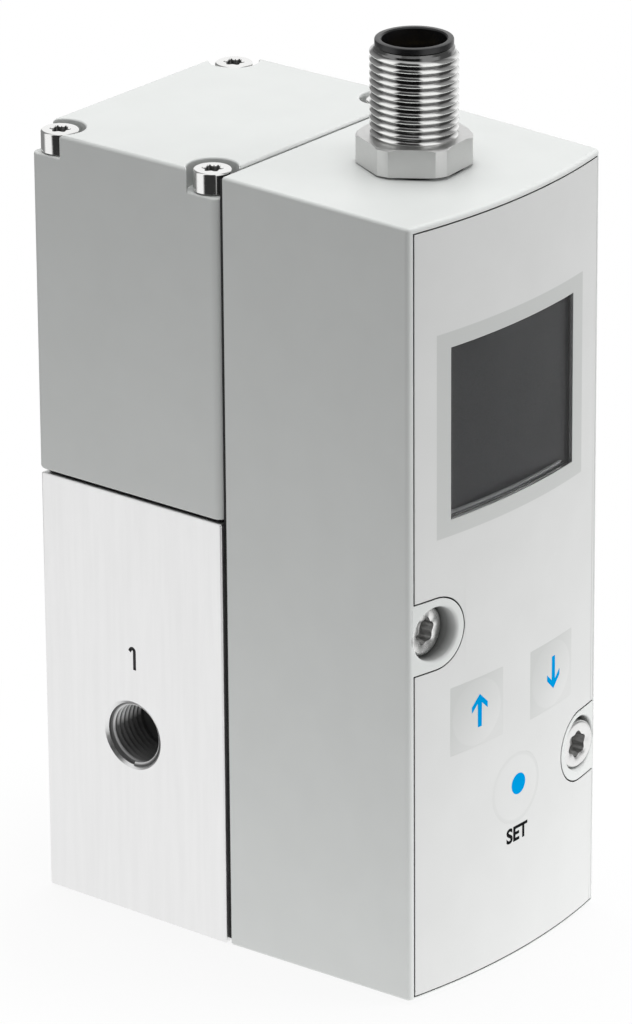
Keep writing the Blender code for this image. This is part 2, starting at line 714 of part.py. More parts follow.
def square_key(name, side):
    """An arrow key and the switch behind it."""
    x = side * KEY_SPACING / 2
    wide = KEY_WIDTH / 2 - PANEL_FIT
    tall = KEY_HEIGHT / 2 - PANEL_FIT
    reach = KEY_SPACING / 2 + KEY_WIDTH / 2 + KEY_FLANGE
    flange_front = front_y(reach, PANEL_THICK + GAP)
    cap = box(name + "_key", (x - wide, front_y(0) - REACH, KEY_Z - tall),
              (x + wide, flange_front + KEY_FLANGE / 2, KEY_Z + tall), "pale panel foil")
    flange_back = key_cap(name, cap, x, KEY_Z, reach)
    wide += KEY_FLANGE
    tall += KEY_FLANGE
    join(cap, box(name + "_flange", (x - wide, flange_front, KEY_Z - tall),
                  (x + wide, flange_back, KEY_Z + tall)))
    switch(name + "_switch", x, KEY_Z, flange_back + KEY_STEM)


def edit_key():
    """The round key and its switch."""
    reach = EDIT_KEY_RADIUS + KEY_FLANGE
    flange_front = front_y(reach, PANEL_THICK + GAP)
    cap = rod("edit_key", "Y", (0.0, EDIT_KEY_Z),
              (front_y(0) - REACH, flange_front + KEY_FLANGE / 2),
              EDIT_KEY_RADIUS - PANEL_FIT, "pale panel foil", sides=ROUND)
    flange_back = key_cap("edit", cap, 0.0, EDIT_KEY_Z, reach)
    join(cap, rod("edit_flange", "Y", (0.0, EDIT_KEY_Z), (flange_front, flange_back),
                  EDIT_KEY_RADIUS + KEY_FLANGE - PANEL_FIT, sides=ROUND))
    switch("edit_switch", 0.0, EDIT_KEY_Z, flange_back + KEY_STEM)


def switch(name, x, z, stem_end):
    """A push switch on the display board, clear of its key's stem by the travel."""
    button = stem_end + KEY_TRAVEL + TIGHT
    body = box(name, (x - SWITCH_SIZE / 2, button + SWITCH_BUTTON, z - SWITCH_SIZE / 2),
               (x + SWITCH_SIZE / 2, DISPLAY_BOARD_FRONT - TIGHT, z + SWITCH_SIZE / 2),
               "black plastic")
    join(body, rod(name + "_button", "Y", (x, z), (button, button + 2 * SWITCH_BUTTON),
                   SWITCH_BUTTON_RADIUS, sides=FINE_ROUND))


# Control electronics

def control_electronics():
    """Control board with its chip, headers, screw and pressure sensor."""
    front = CONTROL_BOARD_FRONT
    back = CONTROL_BOARD_BACK
    plate = board("control_board", front, HEIGHT - CONTROL_BOARD_DROP)
    cut(plate, rod("board_screw_hole", "Y", (0.0, POST_Z), (front - REACH, back + REACH),
                   BOARD_SCREW_RADIUS + GAP, sides=FINE_ROUND))
    screw("board_screw", (0.0, front - TIGHT, POST_Z), (math.pi / 2, 0, 0), BOARD_SCREW_HEAD,
          BOARD_SCREW_HEAD_HEIGHT, BOARD_SCREW_RADIUS, BOARD_THICK + CONTROL_BOARD_STAND / 2)
    half = HEADER_WIDTH / 2
    box("board_header", (-half, DISPLAY_BOARD_FRONT + BOARD_THICK + GAP, HEADER_Z),
        (half, front - GAP, HEADER_Z + HEADER_HEIGHT), "black plastic")
    half = CHIP_SIZE / 2
    box("controller_chip", (-half, front - TIGHT - CHIP_THICK, CHIP_Z - half),
        (half, front - TIGHT, CHIP_Z + half), "black plastic")
    half = PILOT_HEADER_WIDTH / 2
    box("pilot_header", (-half, back + TIGHT, HEADER_SLOT_FOOT),
        (half, PILOT_BOARD_EDGE + PILOT_HEADER_REACH,
         HEADER_SLOT_FOOT + PILOT_HEADER_HEIGHT), "black plastic")
    pressure_sensor(back + TIGHT)


def pressure_sensor(back):
    """The sensor on the back of the control board, with its nozzle and sealing ring."""
    half = SENSOR_SIZE / 2
    sensor = box("pressure_sensor", (-half, back, SENSOR_Z - half),
                 (half, -REAR_WALL - GAP, SENSOR_Z + half), "natural plastic")
    join(sensor, rear_tube("sensor_nozzle", SENSOR_NOZZLE_RADIUS, -REAR_WALL - 2 * GAP))
    cut(sensor, rear_tube("sensor_bore", SENSOR_NOZZLE_RADIUS / 2, -REAR_WALL, REACH))
    seal = ring("sensor_seal", (0, 0), SENSOR_NOZZLE_RADIUS + SENSOR_SEAL_WIRE + TIGHT,
                SENSOR_SEAL_WIRE, 0.0, "black rubber", SMALL_ROUND)
    seal.location = (0.0, JOINT_GAP + SENSOR_REACH / 2, SENSOR_Z)
    seal.rotation_euler = (math.pi / 2, 0, 0)


def rear_tube(name, radius, near, past=0.0):
    """A rod along the sensor's axis, from near to the nozzle's end."""
    return rod(name, "Y", (0.0, SENSOR_Z), (near, JOINT_GAP + SENSOR_REACH + past), radius)


# Connector

def connector():
    """Threaded shell with its hexagon, insert, contacts, ring, nut and board."""
    centre = (0.0, CONNECTOR_Y)
    hex_top = CONNECTOR_SEAT + HEX_HEIGHT
    thread_top = CONNECTOR_SEAT + THREAD_TOP
    tail = CONNECTOR_SEAT - SHELL_TAIL
    relief = THREAD_RADIUS - RELIEF_DEPTH
    profile = [(0.0, thread_top), (THREAD_RADIUS - THREAD_CHAMFER, thread_top),
               (THREAD_RADIUS, thread_top - THREAD_CHAMFER),
               (THREAD_RADIUS, hex_top + RELIEF_HEIGHT), (relief, hex_top + RELIEF_HEIGHT),
               (relief, hex_top - HEX_HEIGHT / 2), (THREAD_RADIUS, hex_top - HEX_HEIGHT / 2),
               (THREAD_RADIUS, tail), (0.0, tail)]
    shell = turned("connector_shell", centre, profile, "plated brass", closed=False)
    join(shell, outline("connector_hex", hexagon(centre, HEX_FLATS, HEX_CORNERS, HEX_TURN),
                        CONNECTOR_SEAT, hex_top))
    cut(shell, rod("shell_bore", "Z", centre, (tail - REACH, thread_top + REACH),
                   SHELL_BORE_RADIUS, sides=ROUND))
    connector_insert(centre, thread_top, tail)
    ring("connector_seal", centre, RING_RADIUS, RING_WIRE, RING_Z, "black rubber")
    nut = outline("connector_nut", hexagon(centre, NUT_FLATS, NUT_CORNERS, HEX_TURN),
                  CAVITY_TOP - GAP - NUT_HEIGHT, CAVITY_TOP - GAP, "plated brass")
    cut(nut, rod("nut_bore", "Z", centre, (CAVITY_TOP - NUT_HEIGHT - REACH, HEIGHT),
                 THREAD_RADIUS + TIGHT, sides=ROUND))


def connector_insert(centre, thread_top, tail):
    """The insulating cup, its contacts and the small board under them."""
    outer = SHELL_BORE_RADIUS - TIGHT
    inner = outer - INSERT_WALL
    rim_foot = thread_top + TIGHT
    rim_top = rim_foot + INSERT_RIM_HEIGHT
    floor = rim_top - SOCKET_DEPTH
    profile = [(0.0, floor), (inner, floor), (inner, rim_top), (INSERT_RIM_RADIUS, rim_top),
               (INSERT_RIM_RADIUS, rim_foot), (outer, rim_foot), (outer, tail), (0.0, tail)]
    cup = turned("connector_insert", centre, profile, "black plastic", closed=False)
    pin_foot = tail - PIN_TAIL
    pin_top = rim_top - PIN_TOP_BELOW_RIM
    for i, (x, y) in enumerate(pin_places(centre), 1):
        cut(cup, rod("pin_hole_%d" % i, "Z", (x, y), (tail - REACH, rim_top),
                     PIN_RADIUS + TIGHT, sides=8))
        rod("connector_pin_%d" % i, "Z", (x, y), (pin_foot, pin_top), PIN_RADIUS,
            "gold contact", sides=8)
    half = CONNECTOR_BOARD_WIDTH / 2
    reach = CONTROL_BOARD_FRONT - GAP - CONNECTOR_Y
    box("connector_board", (-half, CONNECTOR_Y - reach, pin_foot - GAP - BOARD_THICK),
        (half, CONNECTOR_Y + reach, pin_foot - GAP), "green circuit board")


def pin_places(centre):
    """One contact in the middle and seven round it."""
    places = [centre]
    for i in range(7):
        angle = 2 * math.pi * i / 7
        places.append((centre[0] + PIN_CIRCLE * math.sin(angle),
                       centre[1] + PIN_CIRCLE * math.cos(angle)))
    return places


# Valve body and main valve

def valve_body():
    """The machined block with its stepped bore, ports, channels and threads."""
    block = box("valve_body", (-HALF, JOINT_GAP, 0.0), (HALF, BODY_BACK, BODY_HEIGHT),
                "brushed aluminium")
    soften(block, BODY_EDGE, 1)
    rim = RIM_RADIUS + GAP
    rim_floor = RIM_FOOT - TIGHT
    plug = PLUG_RADIUS + TIGHT
    top = BODY_HEIGHT + REACH
    profile = [(0.0, top), (rim, top), (rim, rim_floor), (DIAPHRAGM_CHAMBER_RADIUS, rim_floor),
               (DIAPHRAGM_CHAMBER_RADIUS, CHAMBER_FLOOR), (OUTPUT_RADIUS, CHAMBER_FLOOR),
               (OUTPUT_RADIUS, SEAT_TOP + TIGHT), (CHAMBER_RADIUS, SEAT_TOP + TIGHT),
               (CHAMBER_RADIUS, PLUG_HEIGHT + TIGHT), (plug, PLUG_HEIGHT + TIGHT),
               (plug, -REACH), (0.0, -REACH)]
    cut(block, turned("valve_bore", (0.0, VALVE_Y), profile, closed=False))
    cut(block, side_port("port_1_bore", math.pi / 2), side_port("port_2_bore", -math.pi / 2))
    inner = CHAMBER_RADIUS - REACH
    outer = HALF - PORT_DEPTH + REACH / 2
    cut(block,
        rod("supply_channel", "X", (VALVE_Y, PORT_Z - SUPPLY_CHANNEL_DROP), (-outer, -inner),
            CHANNEL_RADIUS),
        rod("output_channel", "X", (VALVE_Y, PORT_Z + OUTPUT_CHANNEL_RISE), (inner, outer),
            CHANNEL_RADIUS))
    tap = JOINT_GAP + SENSOR_REACH
    cut(block,
        rod("sensor_tap", "Y", (0.0, SENSOR_Z), (JOINT_GAP - REACH, tap + 2 * GAP),
            SENSOR_NOZZLE_RADIUS + 2 * SENSOR_SEAL_WIRE + GAP),
        rod("sensor_channel", "Y", (0.0, SENSOR_Z), (tap, VALVE_Y - inner),
            SENSOR_NOZZLE_RADIUS / 2, sides=FINE_ROUND))
    for side, z in ((-1, LEFT_SCREW_Z), (1, RIGHT_SCREW_Z)):
        cut(block, rod("mount_thread", "Y", (side * SCREW_X, z),
                       (JOINT_GAP - REACH, JOINT_GAP + MOUNT_BITE + GAP),
                       MOUNT_SHANK_RADIUS + TIGHT))
    for x, y in cover_screw_places():
        cut(block, rod("cover_thread", "Z", (x, y),
                       (PILOT_FOOT - COVER_SCREW_BITE - 2 * GAP, BODY_HEIGHT + REACH),
                       COVER_SCREW_RADIUS + TIGHT, sides=FINE_ROUND))


def side_port(name, turn):
    """A port's thread bore and countersink, as a cutter that enters one side."""
    profile = [(0.0, PORT_DEPTH - HALF), (PORT_RADIUS, PORT_DEPTH - HALF),
               (PORT_RADIUS, PORT_SINK - HALF), (PORT_SINK_RADIUS, -HALF),
               (PORT_SINK_RADIUS, -HALF - REACH), (0.0, -HALF - REACH)]
    port = turned(name, (0.0, VALVE_Y), profile, closed=False)
    port.location.z = PORT_Z
    port.rotation_euler = (0, turn, 0)
    return port


def main_valve():
    """Plug, seat, poppet and spring on the valve's axis. The poppet opens downwards."""
    centre = (0.0, VALVE_Y)
    guide = STEM_RADIUS + TIGHT
    groove = PLUG_RADIUS - 2 * PLUG_RING_WIRE - TIGHT
    groove_top = PLUG_RING_Z + PLUG_RING_WIRE + TIGHT
    groove_foot = PLUG_RING_Z - PLUG_RING_WIRE - TIGHT
    port_top = PLUG_HEIGHT - STEM_ENTRY + PLUG_GUIDE_HEIGHT - VALVE_STROKE
    turned("exhaust_plug", centre,
           [(guide, GUIDE_TOP), (PLUG_GUIDE_RADIUS, GUIDE_TOP),
            (PLUG_GUIDE_RADIUS, PLUG_HEIGHT), (PLUG_RADIUS, PLUG_HEIGHT),
            (PLUG_RADIUS, groove_top), (groove, groove_top), (groove, groove_foot),
            (PLUG_RADIUS, groove_foot), (PLUG_RADIUS, GAP), (PORT_SINK_RADIUS, GAP),
            (PORT_RADIUS, PORT_SINK), (PORT_RADIUS, port_top), (guide, port_top)],
           "brushed aluminium")
    ring("plug_o_ring", centre, PLUG_RADIUS - PLUG_RING_WIRE, PLUG_RING_WIRE, PLUG_RING_Z,
         "black rubber")
    outer = CHAMBER_RADIUS - TIGHT
    turned("seat_ring", centre,
           [(SEAT_BORE, SEAT_TOP), (outer, SEAT_TOP), (outer, SEAT_FOOT),
            (SEAT_BORE + SEAT_LIP, SEAT_FOOT), (SEAT_BORE + SEAT_LIP, LIP_FOOT),
            (SEAT_BORE, LIP_FOOT)], "plated steel")
    turned("main_poppet", centre,
           [(STEM_BORE, STEM_TOP), (STEM_RADIUS, STEM_TOP), (STEM_RADIUS, POPPET_TOP),
            (POPPET_RADIUS, POPPET_TOP), (POPPET_RADIUS, POPPET_FOOT),
            (STEM_RADIUS, POPPET_FOOT), (STEM_RADIUS, GUIDE_TOP - STEM_ENTRY),
            (STEM_BORE, GUIDE_TOP - STEM_ENTRY)], "plated brass")
    seal_foot = POPPET_TOP + TIGHT
    turned("poppet_seal", centre,
           [(guide, seal_foot + POPPET_SEAL_THICK),
            (POPPET_RADIUS - TIGHT, seal_foot + POPPET_SEAL_THICK),
            (POPPET_RADIUS - TIGHT, seal_foot), (guide, seal_foot)], "black rubber")
    spring("poppet_spring", centre, SPRING_RADIUS, SPRING_WIRE, PLUG_HEIGHT + TIGHT,
           POPPET_FOOT - TIGHT, 5, 10)


def control_piston():
    """Piston, diaphragm and its washer. The piston can lift off the hollow stem."""
    centre = (0.0, VALVE_Y)
    washer_foot = DISC_TOP + TIGHT
    washer_top = washer_foot + WASHER_THICK
    hub = PISTON_HUB_RADIUS
    foot = STEM_RADIUS + SEAT_LIP
    turned("control_piston", centre,
           [(0.0, washer_top), (hub, washer_top), (hub, PISTON_TOP),
            (PISTON_RADIUS, PISTON_TOP), (PISTON_RADIUS, PISTON_FOOT), (foot, PISTON_FOOT),
            (foot, STEM_TOP + TIGHT), (0.0, STEM_TOP + TIGHT)],
           "brushed aluminium", closed=False)
    turned("diaphragm_washer", centre,
           [(hub + TIGHT, washer_top), (WASHER_RADIUS, washer_top),
            (WASHER_RADIUS, washer_foot), (hub + TIGHT, washer_foot)], "plated steel")
    bend = DIAPHRAGM_CHAMBER_RADIUS - 2 * DIAPHRAGM_THICK
    roll = (PISTON_RADIUS + bend) / 2
    line = [(hub + TIGHT, DISC_TOP), (PISTON_RADIUS, DISC_TOP),
            (roll, DISC_TOP - DIAPHRAGM_THICK), (bend, DISC_TOP),
            (DIAPHRAGM_CHAMBER_RADIUS - DIAPHRAGM_THICK / 2, RIM_TOP),
            (RIM_RADIUS, RIM_TOP)]
    lower = [(radius, height - DIAPHRAGM_THICK) for radius, height in line[::-1]]
    turned("diaphragm", centre, line + lower, "black rubber")


# Pilot housing and pilot valves

def cover_screw_places():
    """The four cover screw axes."""
    x = HALF - COVER_SCREW_SIDE
    front = JOINT_GAP + COVER_SCREW_END
    back = PILOT_BACK - COVER_SCREW_END
    return [(-x, front), (x, front), (-x, back), (x, back)]


def rounded_plan(half, front, back, radius):
    """A rectangle in x and y with rounded corners."""
    corners = ((half - radius, back - radius, 0), (-half + radius, back - radius, 90),
               (-half + radius, front + radius, 180), (half - radius, front + radius, 270))
    points = []
    for x, y, start in corners:
        points += arc((x, y), radius, start, start + 90, 4)
    return points


def corner_pocket(name, x, y):
    """The pocket of a cover screw, open at the corner of the housing."""
    radius = COVER_POCKET_RADIUS
    side = 1 if x > 0 else -1
    end = 1 if y > VALVE_Y else -1
    far = COVER_SCREW_END + REACH
    points = [(x + side * px, y + end * py) for px, py in arc((0.0, 0.0), radius, 0, -270, 12)]
    points += [(x, y + end * far), (x + side * far, y + end * far), (x + side * far, y)]
    return outline(name, points, HEIGHT - COVER_POCKET_DEPTH, HEIGHT + REACH)


def pilot_housing():
    """The moulded cover over the pilot valves, with a post round each cover screw."""
    cover = outline("pilot_housing", rounded_plan(HALF, JOINT_GAP, PILOT_BACK, PILOT_CORNER),
                    PILOT_FOOT, HEIGHT, "light grey plastic")
    soften(cover, PILOT_EDGE)
    cavity = box("pilot_cavity",
                 (-HALF + PILOT_WALL, JOINT_GAP + PILOT_WALL, PILOT_FOOT - REACH),
                 (HALF - PILOT_WALL, PILOT_BACK - PILOT_WALL, PILOT_CEILING))
    for i, place_at in enumerate(cover_screw_places(), 1):
        cut(cavity, rod("cover_post_%d" % i, "Z", place_at,
                        (PILOT_FOOT - 2 * REACH, HEIGHT), COVER_POST_RADIUS))
    cut(cover, cavity)
    for i, (x, y) in enumerate(cover_screw_places(), 1):
        cut(cover, corner_pocket("cover_pocket_%d" % i, x, y),
            rod("cover_hole_%d" % i, "Z", (x, y), (PILOT_FOOT - REACH, HEIGHT),
                COVER_SCREW_RADIUS + GAP, sides=FINE_ROUND))
        screw("housing_screw_%d" % i, (x, y, COVER_SEAT), (0, 0, 0), COVER_HEAD_RADIUS,
              COVER_HEAD_HEIGHT, COVER_SCREW_RADIUS, COVER_SEAT - PILOT_FOOT + COVER_SCREW_BITE)
    cut(cover, header_slot("cover_header_slot", -REACH, JOINT_GAP + PILOT_WALL + REACH))


def housing_gasket():
    """Thin gasket between the valve body and the pilot housing."""
    inset = 2 * COVER_GAP
    plate = box("housing_gasket", (-HALF + inset, JOINT_GAP + inset, BODY_HEIGHT + TIGHT),
                (HALF - inset, BODY_BACK - inset, PILOT_FOOT - TIGHT), "black rubber")
    cut(plate, rod("gasket_bore", "Z", (0.0, VALVE_Y), (BODY_HEIGHT - REACH, HEIGHT / 2 + HALF),
                   RIM_RADIUS + GAP, sides=ROUND))
    for i, place_at in enumerate(cover_screw_places(), 1):
        cut(plate, rod("gasket_hole_%d" % i, "Z", place_at,
                       (BODY_HEIGHT - REACH, PILOT_FOOT + REACH),
                       COVER_SCREW_RADIUS + GAP, sides=FINE_ROUND))


def pilot_base():
    """The block that closes the diaphragm chamber and carries both nozzles."""
    block = box("pilot_base",
                (-HALF + PILOT_WALL + GAP, JOINT_GAP + PILOT_WALL + GAP, PILOT_FOOT),
                (HALF - PILOT_WALL - GAP, PILOT_BACK - PILOT_WALL - GAP, PILOT_BASE_TOP),
                "natural plastic")
    post = COVER_POST_RADIUS + GAP
    for i, place_at in enumerate(cover_screw_places(), 1):
        cut(block, rod("base_notch_%d" % i, "Z", place_at,
                       (PILOT_FOOT - REACH, PILOT_BASE_TOP + REACH), post))
    cut(block, rod("base_recess", "Z", (0.0, VALVE_Y),
                   (PILOT_FOOT - REACH, PILOT_FOOT + PILOT_RECESS), PILOT_RECESS_RADIUS,
                   sides=ROUND))
    for name, side in (("inlet", -1), ("exhaust", 1)):
        place_at = (side * PILOT_SPACING / 2, VALVE_Y)
        nozzle_top = PILOT_BASE_TOP + NOZZLE_HEIGHT
        join(block, rod(name + "_nozzle", "Z", place_at, (PILOT_BASE_TOP - REACH, nozzle_top),
                        NOZZLE_RADIUS, sides=FINE_ROUND))
        cut(block, rod(name + "_nozzle_bore", "Z", place_at,
                       (PILOT_FOOT, nozzle_top + REACH), NOZZLE_BORE, sides=8))


def pilot_valve(name, side):
    """One solenoid: coil, yoke with its core, sprung armature that lifts off the nozzle."""
    x = side * PILOT_SPACING / 2
    centre = (x, VALVE_Y)
    bore = ARMATURE_RADIUS + GAP
    waist = COIL_RADIUS - COIL_WAIST
    turned(name + "_coil", centre,
           [(bore, COIL_TOP), (COIL_RADIUS, COIL_TOP), (COIL_RADIUS, COIL_TOP - COIL_FLANGE),
            (waist, COIL_TOP - COIL_FLANGE), (waist, COIL_FOOT + COIL_FLANGE),
            (COIL_RADIUS, COIL_FOOT + COIL_FLANGE), (COIL_RADIUS, COIL_FOOT),
            (bore, COIL_FOOT)], "copper winding", steps=SMALL_ROUND)
    back = VALVE_Y + COIL_RADIUS + GAP
    half = YOKE_WIDTH / 2
    front = VALVE_Y - COIL_RADIUS
    yoke = box(name + "_yoke", (x - half, front, YOKE_FOOT),
               (x + half, back + YOKE_THICK, YOKE_TOP), "soft iron")
    cut(yoke, box(name + "_yoke_gap", (x - half - REACH, front - REACH, YOKE_FOOT + YOKE_THICK),
                  (x + half + REACH, back, YOKE_TOP - YOKE_THICK)))
    join(yoke, rod(name + "_core", "Z", centre, (ARMATURE_TOP + AIR_GAP, YOKE_TOP - YOKE_THICK / 2),
                   ARMATURE_RADIUS))
    cut(yoke, rod(name + "_yoke_bore", "Z", centre,
                  (YOKE_FOOT - REACH, YOKE_FOOT + YOKE_THICK + REACH / 2), bore))
    turned(name + "_armature", centre,
           [(0.0, ARMATURE_TOP - ARMATURE_BORE_DEPTH),
            (ARMATURE_BORE, ARMATURE_TOP - ARMATURE_BORE_DEPTH), (ARMATURE_BORE, ARMATURE_TOP),
            (ARMATURE_RADIUS, ARMATURE_TOP), (ARMATURE_RADIUS, ARMATURE_FOOT),
            (0.0, ARMATURE_FOOT)], "soft iron", closed=False, steps=SMALL_ROUND)
    spring(name + "_spring", centre, PILOT_SPRING_RADIUS, PILOT_SPRING_WIRE,
           ARMATURE_TOP - ARMATURE_BORE_DEPTH + TIGHT, ARMATURE_TOP + AIR_GAP - TIGHT, 4, 8)


def pilot_board():
    """The small board over the pilot valves."""
    half = HALF - PILOT_WALL - PILOT_BOARD_INSET
    plate = box("pilot_board", (-half, PILOT_BOARD_EDGE, PILOT_BOARD_FOOT),
                (half, PILOT_BACK - PILOT_WALL - PILOT_BOARD_INSET, PILOT_BOARD_TOP),
                "green circuit board")
    post = COVER_POST_RADIUS + GAP
    for i, place_at in enumerate(cover_screw_places(), 1):
        cut(plate, rod("board_notch_%d" % i, "Z", place_at,
                       (PILOT_BOARD_FOOT - REACH, PILOT_BOARD_TOP + REACH), post))


# Places that need the curved front or the sloping top
MODULE_FRONT = front_y(WINDOW_WIDTH / 2 + MODULE_BORDER, PANEL_THICK + GAP)
MODULE_BACK = MODULE_FRONT + MODULE_DEPTH
DISPLAY_BOARD_FRONT = MODULE_BACK + GAP
CONNECTOR_SEAT = case_top(CONNECTOR_Y + HEX_CORNERS / 2) + TIGHT / 2
RING_RADIUS = THREAD_RADIUS + RING_WIRE + TIGHT
RING_Z = CONNECTOR_SEAT - TIGHT / 2 - RING_WIRE
PILOT_BOARD_EDGE = JOINT_GAP + PILOT_WALL + PILOT_BOARD_INSET
COVER_SEAT = HEIGHT - COVER_POCKET_DEPTH + TIGHT


def main():
    """Builds the whole regulator."""
    clear_scene()
    electronics_housing()
    rear_gasket()
    mounting_screws()
    front_panel()
    display()
    square_key("up", -1)
    square_key("down", 1)
    edit_key()
    control_electronics()
    connector()
    valve_body()
    main_valve()
    control_piston()
    housing_gasket()
    pilot_housing()
    pilot_base()
    pilot_valve("inlet", -1)
    pilot_valve("exhaust", 1)
    pilot_board()


main()
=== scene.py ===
"""The looks of an electro pneumatic regulator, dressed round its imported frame.

Lengths are metres in the frame's own axes: the display faces -Y, the two halves meet near
y = 0, and the foot of the valve body stands on z = 0.
"""

from contextlib import contextmanager
import json
import math

import bmesh
import bpy
from mathutils import Matrix, Vector

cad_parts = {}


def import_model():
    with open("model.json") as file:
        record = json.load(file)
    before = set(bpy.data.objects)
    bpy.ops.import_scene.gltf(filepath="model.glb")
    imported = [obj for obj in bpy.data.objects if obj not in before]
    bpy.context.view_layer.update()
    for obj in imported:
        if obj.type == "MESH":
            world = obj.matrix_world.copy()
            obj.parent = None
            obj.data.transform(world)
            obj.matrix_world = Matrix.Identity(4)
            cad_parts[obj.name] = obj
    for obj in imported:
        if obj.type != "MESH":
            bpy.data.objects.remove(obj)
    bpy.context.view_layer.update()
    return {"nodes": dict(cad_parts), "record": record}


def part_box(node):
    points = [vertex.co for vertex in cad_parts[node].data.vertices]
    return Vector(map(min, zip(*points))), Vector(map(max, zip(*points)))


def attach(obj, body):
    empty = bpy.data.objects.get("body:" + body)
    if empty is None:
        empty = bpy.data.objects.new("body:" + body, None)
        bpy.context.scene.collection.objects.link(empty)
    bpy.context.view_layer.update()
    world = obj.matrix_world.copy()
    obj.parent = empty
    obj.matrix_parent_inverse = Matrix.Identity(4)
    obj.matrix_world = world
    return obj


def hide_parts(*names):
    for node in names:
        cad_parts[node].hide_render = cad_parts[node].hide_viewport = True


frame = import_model()

bl_info = {
    "name": "Pneumatic regulator looks",
    "version": (1, 0, 0),
    "blender": (4, 5, 0),
    "location": "View3D > Sidebar > Regulator",
    "description": "Dresses the packed regulator with fine surfaces and finishes",
    "category": "Object",
}


def middle(box):
    """x, y and z halfway between a box's two corners."""
    return [(low + high) / 2 for low, high in zip(*box)]


def front_spot(box):
    """x and z of a box's middle."""
    x, _, z = middle(box)
    return x, z


def level_spot(box):
    """x and y of a box's middle."""
    return tuple(middle(box)[:2])


BASE_BODY = "regulator"
MM = 0.001

# Places read from the frame
CASE_LOW, CASE_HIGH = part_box("electronics_housing")
PANEL_LOW, PANEL_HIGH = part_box("front_panel")
WINDOW_LOW, WINDOW_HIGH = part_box("display_window")
MODULE_LOW, MODULE_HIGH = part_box("display_module")
BODY_LOW, BODY_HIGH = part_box("valve_body")
PILOT_LOW, PILOT_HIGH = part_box("pilot_housing")
HEADER_LOW, HEADER_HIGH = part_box("pilot_header")
SHELL_LOW, SHELL_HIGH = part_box("connector_shell")
INSERT_LOW, INSERT_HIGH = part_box("connector_insert")
PLUG_LOW, PLUG_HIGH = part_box("exhaust_plug")
PIN_NODES = ["connector_pin_%d" % i for i in range(1, 9)]
PINS = [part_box(name) for name in PIN_NODES]
COVER_SCREW_NODES = ["housing_screw_%d" % i for i in range(1, 5)]
COVER_SCREWS = [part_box(name) for name in COVER_SCREW_NODES]
COVER_SPOTS = [level_spot(box) for box in COVER_SCREWS]
MOUNTING_SCREWS = [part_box("mounting_screw_" + side) for side in ("left", "right")]
SCREW_SPOTS = [front_spot(box) for box in MOUNTING_SCREWS]
CONNECTOR = level_spot(PINS[0])
VALVE_Y = middle((PLUG_LOW, PLUG_HIGH))[1]
HALF = CASE_HIGH.x
HEIGHT = CASE_HIGH.z
FRONT = CASE_LOW.y

# Fits and tolerances
REACH = 2.0 * MM               # how far a cutter runs past the face that it opens
GAP = 0.2 * MM
TIGHT = 0.1 * MM
NEAR = 0.02 * MM               # a corner this near to a face lies on it
TINY = 0.01 * MM
HAIR = 0.0005 * MM             # corners nearer than this are one

# Moulded case
BULGE = 2.3 * MM               # middle of the curved front past its sides
TAPER = 0.4 * MM               # draft of each side over the depth
TOP_DROP = 0.8 * MM            # draft of the top over the depth
FOOT_RISE = 0.4 * MM
CASE_WALL = 2.5 * MM           # rear wall
CASE_FLOOR = 3.0 * MM
CASE_ROOF = 3.6 * MM
LEDGE = 2.2 * MM               # width of the ledge behind the panel
PANEL_THICK = 1.8 * MM
PANEL_SINK = 0.03 * MM         # panel behind the case's own front
PANEL_LEFT = PANEL_LOW.x + 0.3 * MM
PANEL_HALF = PANEL_HIGH.x
LEFT_SEAM = 0.22 * MM          # gap on the panel's left side
LAND_RADIUS = 5.05 * MM
HEAD_BORE = 3.8 * MM
HEAD_HEIGHT = 2.8 * MM
SHANK_BORE = 2.2 * MM
BORE_LIFTS = (0.0, 0.25 * MM)  # left and right bore above their screws
BORE_SPOTS = [(x, z + lift) for (x, z), lift in zip(SCREW_SPOTS, BORE_LIFTS)]
GASKET_RIM = 1.5 * MM
FRONT_HALF = HALF - TAPER
ARC_RADIUS = (FRONT_HALF ** 2 + BULGE ** 2) / (2 * BULGE)
ARC_STEPS = 56
ROUND = 96                     # sides of a round piece

# Keys, window and print
BAND_HALF = 15.9 * MM          # half width of the print round the window
BAND_RISE = 2.35 * MM          # that print past the window's lower and upper edges
WINDOW_THICK = 1.6 * MM
LIP_RADIUS = 0.25 * MM
LIP_RISE = 0.42 * MM           # lip above the window's lower edge
LIP_END = 11.7 * MM
KEY_FIT = 0.15 * MM            # solid cap inside its opening
KEY_COLLAR = 0.8 * MM
KEY_CORNER = 0.3 * MM
STEM_RADIUS = 1.5 * MM
STEM_LENGTH = 0.8 * MM
RING_WIDTH = 0.5 * MM          # soft groove round each key's dome
RING_DEPTH = 0.012 * MM
SIGN_SHIFT = 0.45 * MM         # signs right of their keys' middles
SIGN_LIFT = 0.1 * MM
DOT_LIFT = 0.42 * MM
DOT_RADIUS = 1.53 * MM
WORD_HEIGHT = 2.1 * MM
WORD_SHIFT = 0.15 * MM
WORD_DROP = 6.95 * MM          # word below the middle of the round key

# Connector
HEX_FLATS = 14.4 * MM
HEX_CORNERS = 15.6 * MM
HEX_HEIGHT = 3.9 * MM
HEX_TURN = -24.5               # degrees
HEX_CHAMFER = 0.28 * MM
KEY_TURN = math.radians(256)
SEAT_TO_TAIL = 8.3 * MM
RELIEF = 0.1 * MM
SHELL_RADIUS = 5.96 * MM
SHELL_ROOT = 5.42 * MM
SHELL_BORE = 4.85 * MM
INSERT_OUTER = 4.75 * MM
INSERT_INNER = 4.35 * MM
SOCKET_DEPTH = 9.4 * MM
RIM_HEIGHT = 0.8 * MM
RIM_EDGE = 0.18 * MM
PIN_RADIUS = 0.4 * MM

